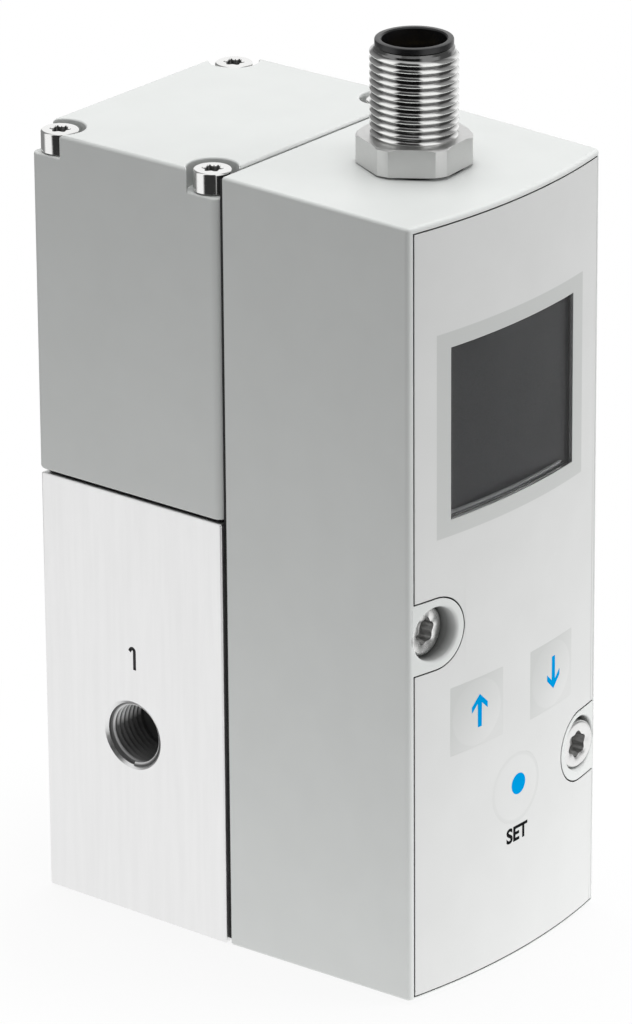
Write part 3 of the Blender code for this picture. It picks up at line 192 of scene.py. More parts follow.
# Valve body
PORT_Z = 27.0 * MM
PORT_RADIUS = 4.4 * MM
PORT_ROOT = 4.62 * MM
PORT_TIP = 4.15 * MM
PORT_DEPTH = 8.0 * MM
PORT_MOUTH = 5.05 * MM
PORT_SINK = 0.5 * MM           # the thread's start behind the mouth
MOUTH_DEPTH = 0.375 * MM
RIM_RADIUS = 14.5 * MM
CHAMBER_RADIUS = 12.9 * MM
CHAMBER_DEPTH = 6.3 * MM
BORE_RADIUS = 7.0 * MM
INLET_RADIUS = 7.5 * MM
SEAT_TOP = 29.1 * MM
PLUG_RADIUS = 9.0 * MM
PLUG_HEIGHT = 12.0 * MM
PLUG_GUIDE = 3.8 * MM
PLUG_EDGE = 0.25 * MM
PLUG_GROOVE = (8.85 * MM, 9.95 * MM)
PLUG_PORT_TOP = 7.4 * MM
STEM_GUIDE = 2.6 * MM
SUPPLY_Z = PORT_Z - 3.2 * MM
OUTPUT_Z = PORT_Z + 4.2 * MM
SENSOR_Z = 42.0 * MM
NUMBER_LIFT = 11.5 * MM        # number above its port
NUMBER_Y = VALVE_Y - 0.55 * MM
NUMBER_STROKE = 0.52 * MM
CHANNEL_RADIUS = 1.8 * MM
MOUNT_THREAD = 2.1 * MM        # radius of a mounting screw's hole, and its depth
MOUNT_DEPTH = 9.7 * MM
COVER_THREAD = 1.6 * MM
SPIRAL_STEPS = 56              # corners of a thread in each turn

# Pilot housing
PILOT_CORNER = 1.2 * MM
PILOT_WALL = 2.3 * MM
PILOT_ROOF = 2.8 * MM
POCKET_RADIUS = 3.5 * MM
POCKET_DEPTH = 3.4 * MM
POCKET_SIDE = 2.85 * MM        # from a pocket's middle to the cover's side
POCKET_EDGE = 0.28 * MM
POST_RADIUS = 4.7 * MM
COVER_HOLE = 1.7 * MM
COVER_HEAD = 3.0 * MM


class RegulatorSizes(bpy.types.PropertyGroup):
    """Sizes of the fine detail."""

    front_edge: bpy.props.FloatProperty(
        name="Front edge", description="Rounding of the case's front corners",
        default=0.8 * MM, unit="LENGTH")
    case_edge: bpy.props.FloatProperty(
        name="Case edge", description="Rounding of the other moulded edges",
        default=0.5 * MM, unit="LENGTH")
    panel_edge: bpy.props.FloatProperty(
        name="Panel edge", description="Chamfer on the panel, the keys and the window",
        default=0.07 * MM, unit="LENGTH")
    panel_seam: bpy.props.FloatProperty(
        name="Panel seam", description="Gap between the panel and the screw lands",
        default=0.2 * MM, unit="LENGTH")
    bore_edge: bpy.props.FloatProperty(
        name="Bore edge", description="Rounding at the mouth of each screw bore",
        default=0.45 * MM, unit="LENGTH")
    block_edge: bpy.props.FloatProperty(
        name="Block edge", description="Edge break on the machined body",
        default=0.3 * MM, unit="LENGTH")
    plug_pitch: bpy.props.FloatProperty(
        name="Plug thread pitch", description="Pitch of the thread on the connector",
        default=1.0 * MM, unit="LENGTH")
    port_pitch: bpy.props.FloatProperty(
        name="Port thread pitch", description="Pitch of the threads in the ports",
        default=0.907 * MM, unit="LENGTH")
    number_height: bpy.props.FloatProperty(
        name="Port number", description="Height of the number engraved above each port",
        default=3.2 * MM, unit="LENGTH")


class RegulatorColours(bpy.types.PropertyGroup):
    """Base colours of the finishes."""

    plastic: bpy.props.FloatVectorProperty(
        name="Housing", description="Light grey moulded housings", subtype="COLOR",
        default=(0.60, 0.615, 0.605))
    foil: bpy.props.FloatVectorProperty(
        name="Panel", description="Pale front panel and keys", subtype="COLOR",
        default=(0.58, 0.585, 0.58))
    band: bpy.props.FloatVectorProperty(
        name="Panel band", description="Darker print round the window and on the keys",
        subtype="COLOR", default=(0.475, 0.485, 0.477))
    sign: bpy.props.FloatVectorProperty(
        name="Signs", description="Blue of the arrows and the dot", subtype="COLOR",
        default=(0.0, 0.26, 0.585))
    lettering: bpy.props.FloatVectorProperty(
        name="Lettering", description="Dark print and number paint", subtype="COLOR",
        default=(0.03, 0.03, 0.032))
    aluminium: bpy.props.FloatVectorProperty(
        name="Aluminium", description="Bare machined body", subtype="COLOR",
        default=(0.82, 0.82, 0.82))
    nickel: bpy.props.FloatVectorProperty(
        name="Nickel", description="Plating on connector and screws", subtype="COLOR",
        default=(0.637, 0.637, 0.63))
    black: bpy.props.FloatVectorProperty(
        name="Black", description="Black plastics and rubber", subtype="COLOR",
        default=(0.012, 0.012, 0.013))


# Small tools for making meshes

def added(name, data):
    """A new object in the scene."""
    item = bpy.data.objects.new(name, data)
    bpy.context.scene.collection.objects.link(item)
    return item


def discard(piece):
    """Removes a piece and its mesh."""
    mesh = piece.data
    bpy.data.objects.remove(piece)
    bpy.data.meshes.remove(mesh)


@contextmanager
def edited(mesh):
    """Opens a mesh for changes and writes them back."""
    shape = bmesh.new()
    shape.from_mesh(mesh)
    yield shape
    shape.to_mesh(mesh)
    shape.free()


def piece_from(name, shape):
    """A piece at the origin from a finished bmesh, with its faces pointing out."""
    bmesh.ops.recalc_face_normals(shape, faces=shape.faces)
    mesh = bpy.data.meshes.new(name)
    shape.to_mesh(mesh)
    shape.free()
    return added(name, mesh)


def band(shape, first, second):
    """Faces between two closed rings with as many corners each."""
    for i in range(len(first)):
        j = (i + 1) % len(first)
        shape.faces.new((first[i], second[i], second[j], first[j]))


def prism(name, points, low, high, axis="Z"):
    """A flat outline pushed along an axis. Its points hold the other two coordinates."""
    at = "XYZ".index(axis)
    shape = bmesh.new()
    rings = [[shape.verts.new((*point[:at], level, *point[at:])) for point in points]
             for level in (low, high)]
    for ring in rings:
        shape.faces.new(ring)
    band(shape, *rings)
    return piece_from(name, shape)


def rectangle(left, right, low, high):
    """Corners of a rectangle, going round once."""
    return [(left, low), (right, low), (right, high), (left, high)]


def block(name, low, high):
    """A box between two corners."""
    return prism(name, rectangle(low[0], high[0], low[1], high[1]), low[2], high[2])


def value_at(value, angle):
    """A ring's radius or height, which may be a function of the angle."""
    return value(angle) if callable(value) else value


def loft(name, rings, place=Matrix.Identity(4), sides=ROUND, closed=False):
    """Rings of (radius, height) on a local Z axis. A closed loft joins last to first."""
    shape = bmesh.new()
    made = []
    for radius, height in rings:
        if radius == 0:
            made.append([shape.verts.new(place @ Vector((0, 0, height)))])
            continue
        ring = []
        for i in range(sides):
            angle = 2 * math.pi * i / sides
            far = value_at(radius, angle)
            spot = (far * math.cos(angle), far * math.sin(angle), value_at(height, angle))
            ring.append(shape.verts.new(place @ Vector(spot)))
        made.append(ring)
    if closed:
        made.append(made[0])
    for first, second in zip(made, made[1:]):
        if len(first) == len(second):
            band(shape, first, second)
            continue
        tip, ring = (first[0], second) if len(first) == 1 else (second[0], first)
        for i in range(sides):
            shape.faces.new((tip, ring[i], ring[(i + 1) % sides]))
    return piece_from(name, shape)


def rod(name, place, radius, low, high, sides=ROUND):
    """A plain cylinder on a local Z axis."""
    return loft(name, [(0, low), (radius, low), (radius, high), (0, high)], place, sides)


def along(axis, x, y, z):
    """A frame at a point whose local Z runs along an axis such as +X or -Y."""
    direction = Vector({"X": (1, 0, 0), "Y": (0, 1, 0), "Z": (0, 0, 1)}[axis[1]])
    if axis[0] == "-":
        direction.negate()
    turn = Vector((0, 0, 1)).rotation_difference(direction).to_matrix().to_4x4()
    return Matrix.Translation((x, y, z)) @ turn


def plain_mesh(item):
    """The mesh that an object's modifiers or curve give."""
    bpy.context.view_layer.update()
    view = bpy.context.evaluated_depsgraph_get()
    return bpy.data.meshes.new_from_object(item.evaluated_get(view))


def settle(piece):
    """Makes what the piece's modifiers give into its own plain mesh."""
    made = plain_mesh(piece)
    old = piece.data
    piece.modifiers.clear()
    piece.data = made
    bpy.data.meshes.remove(old)
    made.name = piece.name
    return piece


def piece_from_curve(name, curve, place):
    """A piece with a curve's mesh, moved to its place. The curve is removed."""
    source = added(name, curve)
    mesh = plain_mesh(source)
    bpy.data.objects.remove(source)
    bpy.data.curves.remove(curve)
    mesh.transform(place)
    shape = bmesh.new()
    shape.from_mesh(mesh)
    bpy.data.meshes.remove(mesh)
    bmesh.ops.remove_doubles(shape, verts=shape.verts, dist=HAIR)
    return piece_from(name, shape)


def boolean(piece, operation, tools, painted=False):
    """Adds, cuts or intersects the tools in turn, then removes them."""
    for tool in tools:
        step = piece.modifiers.new(tool.name, "BOOLEAN")
        step.operation = operation
        step.solver = "EXACT"
        step.material_mode = "TRANSFER" if painted else "INDEX"
        step.object = tool
    settle(piece)
    for tool in tools:
        discard(tool)
    return piece


def cut(piece, *tools, painted=False):
    """Takes the tools out of the piece."""
    return boolean(piece, "DIFFERENCE", tools, painted)


def join(piece, *tools):
    """Adds the tools to the piece."""
    return boolean(piece, "UNION", tools)


def soften(piece, width, segments=3, limit=40):
    """Rounds every edge sharper than the limit."""
    bevel = piece.modifiers.new("edges", "BEVEL")
    bevel.limit_method = "ANGLE"
    bevel.angle_limit = math.radians(limit)
    bevel.width = width
    bevel.segments = segments
    bevel.use_clamp_overlap = False
    return settle(piece)


def soften_where(piece, test, width, segments=3):
    """Rounds the sharp edges whose two ends both pass the test."""
    with edited(piece.data) as shape:
        edges = []
        for edge in shape.edges:
            if len(edge.link_faces) != 2 or edge.calc_face_angle(0) < math.radians(40):
                continue
            if test(edge.verts[0].co) and test(edge.verts[1].co):
                edges.append(edge)
        bmesh.ops.bevel(shape, geom=edges, offset=width, segments=segments, profile=0.5,
                        affect="EDGES", clamp_overlap=False)
    return piece


def smooth(piece, angle=35):
    """Smooth shading that keeps flat faces flat beside their rounded edges."""
    with edited(piece.data) as shape:
        bmesh.ops.remove_doubles(shape, verts=shape.verts, dist=HAIR)
        bmesh.ops.dissolve_degenerate(shape, edges=shape.edges, dist=HAIR)
    piece.data.shade_smooth()
    piece.data.set_sharp_from_angle(angle=math.radians(angle))
    step = piece.modifiers.new("normals", "WEIGHTED_NORMAL")
    step.keep_sharp = True
    return settle(piece)


def dress(piece, material, body=BASE_BODY, nodes=()):
    """Gives a piece its finish, its body and the solids that it stands for."""
    if not piece.data.materials:
        piece.data.materials.append(material)
    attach(piece, body)
    if nodes:
        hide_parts(*nodes)
    return piece


def arc(centre, radius, start, end, steps):
    """Points on an arc, both ends included, angles in degrees."""
    points = []
    for i in range(steps + 1):
        angle = math.radians(start + (end - start) * i / steps)
        points.append((centre[0] + radius * math.cos(angle),
                       centre[1] + radius * math.sin(angle)))
    return points


def fillet(before, corner, after, radius, steps=6):
    """Points that round a corner between two straight sides."""
    corner = Vector(corner)
    first = (Vector(before) - corner).normalized()
    second = (Vector(after) - corner).normalized()
    half = first.angle(second) / 2
    centre = corner + (first + second).normalized() * (radius / math.sin(half))
    start = corner + first * (radius / math.tan(half)) - centre
    sweep = start.angle_signed(corner + second * (radius / math.tan(half)) - centre)
    points = []
    for i in range(steps + 1):
        angle = -sweep * i / steps
        cosine = math.cos(angle)
        sine = math.sin(angle)
        points.append((centre.x + start.x * cosine - start.y * sine,
                       centre.y + start.x * sine + start.y * cosine))
    return points


def rounded_outline(corners, radius, steps=6):
    """A closed outline with every corner rounded alike."""
    points = []
    for i, corner in enumerate(corners):
        after = corners[(i + 1) % len(corners)]
        points += fillet(corners[i - 1], corner, after, radius, steps)
    return points


# Nodes for finishes and for repeated shapes

def feed(tree, node, inputs):
    """Links or sets a node's inputs, each given by its name or number."""
    for key, value in dict(inputs).items():
        if isinstance(value, bpy.types.NodeSocket):
            tree.links.new(value, node.inputs[key])
        else:
            node.inputs[key].default_value = value
    return node


def put(tree, kind, inputs=(), **settings):
    """A new node with its settings and inputs."""
    node = tree.nodes.new(kind)
    for name, value in settings.items():
        setattr(node, name, value)
    return feed(tree, node, inputs)


def maths(tree, operation, *values):
    """A maths node over sockets and numbers."""
    return put(tree, "ShaderNodeMath", enumerate(values), operation=operation).outputs[0]


def ramp(tree, value, start, end, low, high):
    """Maps start to end onto low to high, held outside them."""
    return put(tree, "ShaderNodeMapRange", {
        "Value": value, "From Min": start, "From Max": end,
        "To Min": low, "To Max": high}).outputs["Result"]


def spread(tree, factor, low, high):
    """Maps a noise's middle range onto low to high."""
    return ramp(tree, factor, 0.3, 0.7, low, high)


def noise(tree, where, scale, detail=2.0, stretch=(1, 1, 1)):
    """Noise over the object's own coordinates, in features a metre."""
    mapping = put(tree, "ShaderNodeMapping", {"Vector": where, "Scale": stretch})
    return put(tree, "ShaderNodeTexNoise", {
        "Vector": mapping.outputs["Vector"], "Scale": scale, "Detail": detail}).outputs["Fac"]


def mixed(tree, factor, first, second):
    """Mixes two colours, each a colour or a socket, by a factor."""
    tones = [tone if isinstance(tone, bpy.types.NodeSocket) else (*tone, 1.0)
             for tone in (first, second)]
    # In a colour mix, inputs 6 and 7 are the colours and output 2 is the result
    return put(tree, "ShaderNodeMix", {0: factor, 6: tones[0], 7: tones[1]},
               data_type="RGBA").outputs[2]


def axes(tree, where):
    """The object's x, y and z as three sockets."""
    return put(tree, "ShaderNodeSeparateXYZ", {0: where}).outputs


def between(tree, value, low, high, soft):
    """One inside a span and zero outside, with soft ends."""
    least = maths(tree, "MINIMUM", maths(tree, "SUBTRACT", value, low),
                  maths(tree, "SUBTRACT", high, value))
    made = maths(tree, "ADD", maths(tree, "DIVIDE", least, soft), 0.5)
    made.node.use_clamp = True
    return made


def distance(tree, axis, names, centre):
    """Distance from a point in two of the object's axes, such as XZ."""
    squares = []
    for name, place in zip(names, centre):
        away = maths(tree, "SUBTRACT", axis[name], place)
        squares.append(maths(tree, "MULTIPLY", away, away))
    return maths(tree, "SQRT", maths(tree, "ADD", *squares))


# Masks, each a number over the object's axes

def depth_below(tree, axis):
    """Depth behind the curved front."""
    square = maths(tree, "MULTIPLY", axis["X"], axis["X"])
    arch = maths(tree, "SQRT", maths(tree, "SUBTRACT", ARC_RADIUS ** 2, square))
    return maths(tree, "ADD", arch, maths(tree, "SUBTRACT", axis["Y"], FRONT + ARC_RADIUS))


def shaded_gaps(tree, axis):
    """The walls of the panel's seams and, more softly, of the screw bores."""
    depth = depth_below(tree, axis)
    nearest = maths(tree, "MINIMUM", *[distance(tree, axis, "XZ", spot) for spot in BORE_SPOTS])
    bore = between(tree, nearest, -1.0, HEAD_BORE + 0.6 * MM, TIGHT)
    wall = ramp(tree, depth, 0.3 * MM, 1.8 * MM, 0.0, 0.7)
    seam = ramp(tree, depth, 0.1 * MM, 0.2 * MM, 0.0, 1.0)
    chosen = maths(tree, "ADD", maths(tree, "MULTIPLY", bore, wall),
                   maths(tree, "MULTIPLY", seam, maths(tree, "SUBTRACT", 1.0, bore)))
    wide = between(tree, axis["X"], -PANEL_HALF - 0.35 * MM, PANEL_HALF + TIGHT, NEAR)
    tall = between(tree, axis["Z"], PANEL_LOW.z - GAP, PANEL_HIGH.z + GAP, NEAR)
    return maths(tree, "MULTIPLY", chosen, maths(tree, "MULTIPLY", wide, tall))


def port_shade(tree, axis):
    """The thread's root in each port, and the port's lower half past the first turn."""
    radius = distance(tree, axis, "YZ", (VALVE_Y, PORT_Z))
    root = ramp(tree, radius, PORT_TIP + 0.05 * MM, PORT_TIP + 0.3 * MM, 0.0, 0.95)
    depth = maths(tree, "SUBTRACT", HALF, maths(tree, "ABSOLUTE", axis["X"]))
    deep = ramp(tree, depth, 0.6 * MM, 1.4 * MM, 0.0, 1.0)
    rise = maths(tree, "SUBTRACT", axis["Z"], PORT_Z)
    low = ramp(tree, rise, 1.2 * MM, -0.4 * MM, 0.0, 0.95)
    return maths(tree, "MAXIMUM", maths(tree, "MULTIPLY", deep, low), root)


def thread_root_shade(tree, axis):
    """Painted shade on the connector's thread, darker towards its root."""
    radius = distance(tree, axis, "XY", CONNECTOR)
    return ramp(tree, radius, SHELL_ROOT, SHELL_RADIUS - TIGHT, 0.85, 0.0)


def foil_edge_shade(tree, axis):
    """Painted shade on the cut edges of the foil, behind its front."""
    return ramp(tree, depth_below(tree, axis), 0.07 * MM, 0.12 * MM, 0.0, 1.0)


def window_band(tree, axis):
    """The print round the window."""
    across = between(tree, axis["X"], -BAND_HALF, BAND_HALF, 0.12 * MM)
    upward = between(tree, axis["Z"], WINDOW_LOW.z - BAND_RISE, WINDOW_HIGH.z + BAND_RISE,
                     0.12 * MM)
    return maths(tree, "MULTIPLY", across, upward)


def key_print_and_shade(centre, radius, square):
    """A mask of a key's print outside its dome. On a square key it also grows to the upper left as
    painted shade.
    """
    def mask(tree, axis):
        outside = between(tree, distance(tree, axis, "XZ", centre), radius, 1.0, 0.15 * MM)
        if not square:
            return maths(tree, "MULTIPLY", outside, 0.25)
        lean = maths(tree, "SUBTRACT", maths(tree, "SUBTRACT", axis["Z"], centre[1]),
                     maths(tree, "SUBTRACT", axis["X"], centre[0]))
        # Painted shade: the square key darker towards its upper left
        upper_left_shade = ramp(tree, lean, -6 * MM, 6 * MM, 0.0, 0.85)
        return maths(tree, "ADD", maths(tree, "MULTIPLY", outside, 0.2), upper_left_shade)
    return mask


# Finishes

# Painted shade: a dark tone laid on the foil's cut edges, in narrow gaps, in the ports and in
# thread roots
PAINTED_SHADE_TONE = (0.06, 0.06, 0.06)     # cut edges and the walls of narrow gaps


def new_material(name):
    """A material with its node tree, its shader and its object coordinates."""
    material = bpy.data.materials.new(name)
    material.use_nodes = True
    tree = material.node_tree
    place = tree.nodes.new("ShaderNodeTexCoord")
    return material, tree, tree.nodes["Principled BSDF"], place.outputs["Object"]


def tinted(colour, amount):
    """A colour made lighter or darker by a share."""
    return tuple(min(1.0, channel * (1 + amount)) for channel in colour)


def finish(name, colour, roughness, metallic=0.0, fine=4000.0, depth=0.01 * MM, shade=0.03,
           gloss=0.04, stretch=(1, 1, 1), broad=160.0, shine=0.5, marks=()):
    """A surface with soft shade and gloss changes, a fine grain and marks over its ground."""
    material, tree, shader, where = new_material(name)
    cloud = noise(tree, where, broad, 2.0, stretch)
    small = noise(tree, where, fine, 3.0, stretch)
    tone = mixed(tree, spread(tree, cloud, 0, 1), tinted(colour, -shade), tinted(colour, shade))
    for mask, paint in marks:
        tone = mixed(tree, mask(tree, axes(tree, where)), tone, paint)
    bump = put(tree, "ShaderNodeBump", {"Strength": 1.0, "Distance": depth, "Height": small})
    feed(tree, shader, {
        "Base Color": tone, "Metallic": metallic, "Normal": bump.outputs["Normal"],
        "Roughness": spread(tree, small, roughness - gloss, roughness + gloss),
        "Specular IOR Level": shine})
    return material


def foil_finish(name, colours, mask):
    """Printed foil: pale ground, a darker tone where the mask is one, and painted shade on its cut
    edges.
    """
    return finish(name, colours.foil, 0.47, fine=5200.0, depth=0.004 * MM, shade=0.015,
                  gloss=0.05, broad=120.0, marks=((mask, colours.band), (foil_edge_shade, PAINTED_SHADE_TONE)))


def glass_finish(name):
    """Smoked window: clear gloss over a dark tint."""
    material, tree, shader, where = new_material(name)
    tint = spread(tree, noise(tree, where, 150.0), 0, 1)
    feed(tree, shader, {
        "Base Color": mixed(tree, tint, (0.54, 0.545, 0.55), (0.56, 0.565, 0.57)),
        "Roughness": spread(tree, noise(tree, where, 900.0), 0.01, 0.04),
        "Transmission Weight": 1.0, "IOR": 1.45, "Specular IOR Level": 0.25})
    return material


# Repeated and spiral shapes by geometry nodes

def node_group(name, sizes):
    """A geometry node tree and its inputs: a mesh, the named sizes and a material."""
    tree = bpy.data.node_groups.new(name, "GeometryNodeTree")
    for label, kind in (("Geometry", "Geometry"), *sizes.items(), ("Material", "Material")):
        tree.interface.new_socket(label, in_out="INPUT", socket_type="NodeSocket" + kind)
    tree.interface.new_socket("Geometry", in_out="OUTPUT", socket_type="NodeSocketGeometry")
    return tree, tree.nodes.new("NodeGroupInput").outputs


def end_tree(tree, inputs, made):
    """Realizes the instances, sets the material and ends the tree."""
    realize = put(tree, "GeometryNodeRealizeInstances", {"Geometry": made})
    paint = put(tree, "GeometryNodeSetMaterial", {
        "Geometry": realize.outputs["Geometry"], "Material": inputs["Material"]})
    put(tree, "NodeGroupOutput", {"Geometry": paint.outputs["Geometry"]})
    return tree


def thread_tree():
    """A helical ridge: a spiral swept with a pointed profile between two radii."""
    tree, sizes = node_group("thread ridge", {
        "Root Radius": "Float", "Tip Radius": "Float", "Pitch": "Float", "Turns": "Float",
        "Base Width": "Float", "Tip Width": "Float", "Points": "Int"})
    root = sizes["Root Radius"]
    spiral = put(tree, "GeometryNodeCurveSpiral", {
        "Height": maths(tree, "MULTIPLY", sizes["Pitch"], sizes["Turns"]),
        "Rotations": sizes["Turns"], "Resolution": sizes["Points"],
        "Start Radius": root, "End Radius": root})
    upright = put(tree, "GeometryNodeSetCurveNormal", {"Curve": spiral.outputs["Curve"]},
                  mode="Z_UP")
    rise = maths(tree, "SUBTRACT", root, sizes["Tip Radius"])
    corners = (("Base Width", -0.5, 0.0), ("Tip Width", -0.5, rise),
               ("Tip Width", 0.5, rise), ("Base Width", 0.5, 0.0))
    points = {}
    for number, (width, share, height) in enumerate(corners, 1):
        half = maths(tree, "MULTIPLY", sizes[width], share)
        point = put(tree, "ShaderNodeCombineXYZ", {"X": height, "Y": half})
        points["Point %d" % number] = point.outputs[0]
    section = put(tree, "GeometryNodeCurvePrimitiveQuadrilateral", points, mode="POINTS")
    sweep = put(tree, "GeometryNodeCurveToMesh", {
        "Curve": upright.outputs["Curve"], "Profile Curve": section.outputs["Curve"],
        "Fill Caps": True})
    return end_tree(tree, sizes, sweep.outputs["Mesh"])


def copies_tree():
    """Copies of one object on the points of a mesh."""
    tree, inputs = node_group("copies on points", {"Object": "Object"})
    info = put(tree, "GeometryNodeObjectInfo", {"Object": inputs["Object"]})
    copies = put(tree, "GeometryNodeInstanceOnPoints", {
        "Points": inputs["Geometry"], "Instance": info.outputs["Geometry"]})
    return end_tree(tree, inputs, copies.outputs["Instances"])


def grown(name, tree, inputs, start=None):
    """Runs a node tree on an object and returns it with the plain mesh that it gives."""
    piece = added(name, start or bpy.data.meshes.new(name))
    step = piece.modifiers.new("grow", "NODES")
    step.node_group = tree
    for item in tree.interface.items_tree:
        if item.in_out == "INPUT" and item.name in inputs:
            step[item.identifier] = inputs[item.name]
    return settle(piece)


def copied(name, pattern, spots, material):
    """Copies of a pattern on their places, as one piece. The pattern is removed."""
    places = bpy.data.meshes.new(name)
    places.from_pydata(spots, [], [])
    piece = grown(name, copies_tree(), {"Object": pattern, "Material": material}, places)
    discard(pattern)
    return smooth(piece)


def thread_ridge(name, place, root, tip, pitch, length, material):
    """A thread's ridge on a local Z axis, moved to its place."""
    turns = length / pitch
    ridge = grown(name, thread_tree(), {
        "Root Radius": root, "Tip Radius": tip, "Pitch": pitch, "Turns": turns,
        "Base Width": pitch * 0.92, "Tip Width": pitch * 0.14, "Points": int(turns * SPIRAL_STEPS),
        "Material": material})
    ridge.data.transform(place)
    with edited(ridge.data) as shape:
        bmesh.ops.remove_doubles(shape, verts=shape.verts, dist=2 * HAIR)
        bmesh.ops.recalc_face_normals(shape, faces=shape.faces)
    ridge.data.shade_smooth()
    ridge.data.set_sharp_from_angle(angle=math.radians(75))
    return ridge


# Electronics case

def front_y(x, inset=0.0):
    """Where the curved front lies at x, or a surface that far behind it."""
    return FRONT + ARC_RADIUS - math.sqrt(ARC_RADIUS ** 2 - x ** 2) + inset


def on_curve(spot, inset=0.0):
    """Whether a point lies on the curved front, or that far behind it."""
    return abs(spot.y - front_y(spot.x, inset)) < NEAR


def front_arc(half, inset):
    """Points along the curved front from -half to +half."""
    xs = [half * (2 * i / ARC_STEPS - 1) for i in range(ARC_STEPS + 1)]
    return [(x, front_y(x, inset)) for x in xs]


def curved_band(name, half, front, back, low, high):
    """A slab between two insets of the curved front."""
    points = front_arc(half, front) + front_arc(half, back)[::-1]
    return prism(name, points, low, high)


def bend(piece, inset):
    """Moves a flat piece onto the curved front, or a surface that far behind it."""
    for vertex in piece.data.vertices:
        vertex.co.y += front_y(vertex.co.x, inset)
    return piece


def screw_lands(radius):
    """The round lands of the mounting screws and their bridges to the sides, as cutters."""
    tools = []
    for x, z in SCREW_SPOTS:
        side = 1 if x > 0 else -1
        turn = arc((x, z), radius, 90, 90 + 180 * side, 48)
        edge = side * (HALF + REACH)
        points = [(edge, turn[0][1]), *turn, (edge, turn[-1][1])]
        tools.append(prism("land", points, FRONT - REACH, REACH, "Y"))
    return tools


def screw_bores():
    """Counterbore and shank hole for each mounting screw."""
    tools = []
    for (low, _), (x, z), lift in zip(MOUNTING_SCREWS, SCREW_SPOTS, BORE_LIFTS):
        seat = low.y + HEAD_HEIGHT + TIGHT
        tools.append(rod("head_bore", along("+Y", x, 0, z + lift), HEAD_BORE, FRONT - REACH,
                         seat))
        tools.append(rod("shank_bore", along("+Y", x, 0, z), SHANK_BORE, seat - 0.5 * MM,
                         REACH, 48))
    return tools


def left_side(end):
    """All that lies left of an x, as a cutter."""
    return block("left_side", (-HALF, FRONT - REACH, 0), (end, 0, HEIGHT))


def header_slot(near, far):
    """The slot for the plug that joins the two halves, as a cutter."""
    return block("header_slot", (HEADER_LOW.x - GAP, near, HEADER_LOW.z - GAP),
                 (HEADER_HIGH.x + GAP, far, HEADER_HIGH.z + GAP))


def case_shape(sizes):
    """Tapered block with a curved front and rounded edges."""
    flat = FRONT_HALF - 2 * sizes.front_edge
    right = fillet((flat, front_y(flat)), (FRONT_HALF, front_y(FRONT_HALF)), (HALF, 0.0),
                   sizes.front_edge)
    left = [(-x, y) for x, y in right[::-1]]
    points = [(-HALF, 0.0), *left, *front_arc(right[0][0], 0.0)[1:-1], *right, (HALF, 0.0)]
    case = prism("electronics_case", points, 0.0, HEIGHT)
    for vertex in case.data.vertices:
        depth = vertex.co.y / (FRONT + BULGE)
        vertex.co.z += -TOP_DROP * depth if vertex.co.z > HEIGHT / 2 else FOOT_RISE * depth
    return soften(case, sizes.case_edge, 4)


def case_hollows():
    """The case's cavity and the panel's recess, as cutters that leave the screw lands."""
    half = PANEL_HALF - LEDGE
    cavity = block("cavity", (-half, FRONT - REACH, CASE_FLOOR),
                   (half, -CASE_WALL, HEIGHT - CASE_ROOF))
    recess = curved_band("recess", PANEL_HALF + TINY, -REACH, PANEL_THICK + GAP,
                         PANEL_LOW.z - KEY_FIT, PANEL_HIGH.z + GAP)
    cut(cavity, *screw_lands(LAND_RADIUS))
    cut(recess, left_side(PANEL_LEFT - LEFT_SEAM), *screw_lands(LAND_RADIUS))
    return cavity, recess


def case_holes():
    """The holes for the connector and its ring, the sensor and the header, as cutters."""
    ring_low, ring_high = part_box("connector_seal")
    axis = along("+Z", *CONNECTOR, 0)
    top = HEIGHT + REACH
    return (
        rod("connector_hole", axis, SHELL_RADIUS + GAP, HEIGHT - CASE_ROOF - REACH, top),
        rod("ring_pocket", axis, ring_high.x + TIGHT, ring_low.z - TIGHT, top),
        rod("sensor_hole", along("+Y", 0, 0, SENSOR_Z), 2.2 * MM, -CASE_WALL - REACH, REACH, 48),
        header_slot(-CASE_WALL - REACH, REACH))


def electronics_case(sizes):
    """The case with its recess, screw lands, bores and openings."""
    case = case_shape(sizes)
    cut(case, *case_hollows())
    cut(case, *screw_bores())
    cut(case, *case_holes())

    def at_bore_mouth(spot):
        ways = [math.hypot(spot.x - x, spot.z - z) - HEAD_BORE for x, z in BORE_SPOTS]
        return on_curve(spot) and min(abs(way) for way in ways) < 0.05 * MM

    def on_front(spot):
        inside = sizes.front_edge - FRONT_HALF <= spot.x < PANEL_HALF - TIGHT
        return inside and on_curve(spot)

    soften_where(case, at_bore_mouth, sizes.bore_edge, 4)
    soften_where(case, on_front, sizes.panel_edge, 2)
    return smooth(case)


def gasket_edge():
    """The gasket's rim, squeezed between the two halves all the way round."""
    low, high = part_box("rear_gasket")
    rim = block("gasket_edge", (low.x - TINY, 0.0, low.z - TINY),
                (high.x + TINY, BODY_LOW.y, high.z + TINY))
    return cut(rim, block("gasket_middle", (low.x + GASKET_RIM, -REACH, low.z + GASKET_RIM),
                          (high.x - GASKET_RIM, REACH, high.z - GASKET_RIM)))


# Panel, window and keys

def key_half(name):
    """Half width and half height of a key's opening."""
    low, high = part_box(name)
    collar = KEY_COLLAR - KEY_FIT
    return (high.x - low.x) / 2 - collar, (high.z - low.z) / 2 - collar


def panel_openings():
    """The window's and the keys' openings, as cutters."""
    near = FRONT - REACH
    far = FRONT + BULGE + PANEL_THICK + REACH
    fit = 0.05 * MM
    window = rectangle(WINDOW_LOW.x - fit, WINDOW_HIGH.x + fit, WINDOW_LOW.z - fit,
                       WINDOW_HIGH.z + fit)
    tools = [prism("window_hole", window, near, far, "Y")]
    for name in ("up_key", "down_key"):
        x, z = front_spot(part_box(name))
        wide, tall = key_half(name)
        corners = rectangle(x - wide, x + wide, z - tall, z + tall)
        tools.append(prism(name + "_hole", rounded_outline(corners, KEY_CORNER, 4), near, far,
                           "Y"))
    x, z = front_spot(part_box("edit_key"))
    tools.append(rod("edit_hole", along("+Y", x, 0, z), key_half("edit_key")[0], near, far))
    return tools


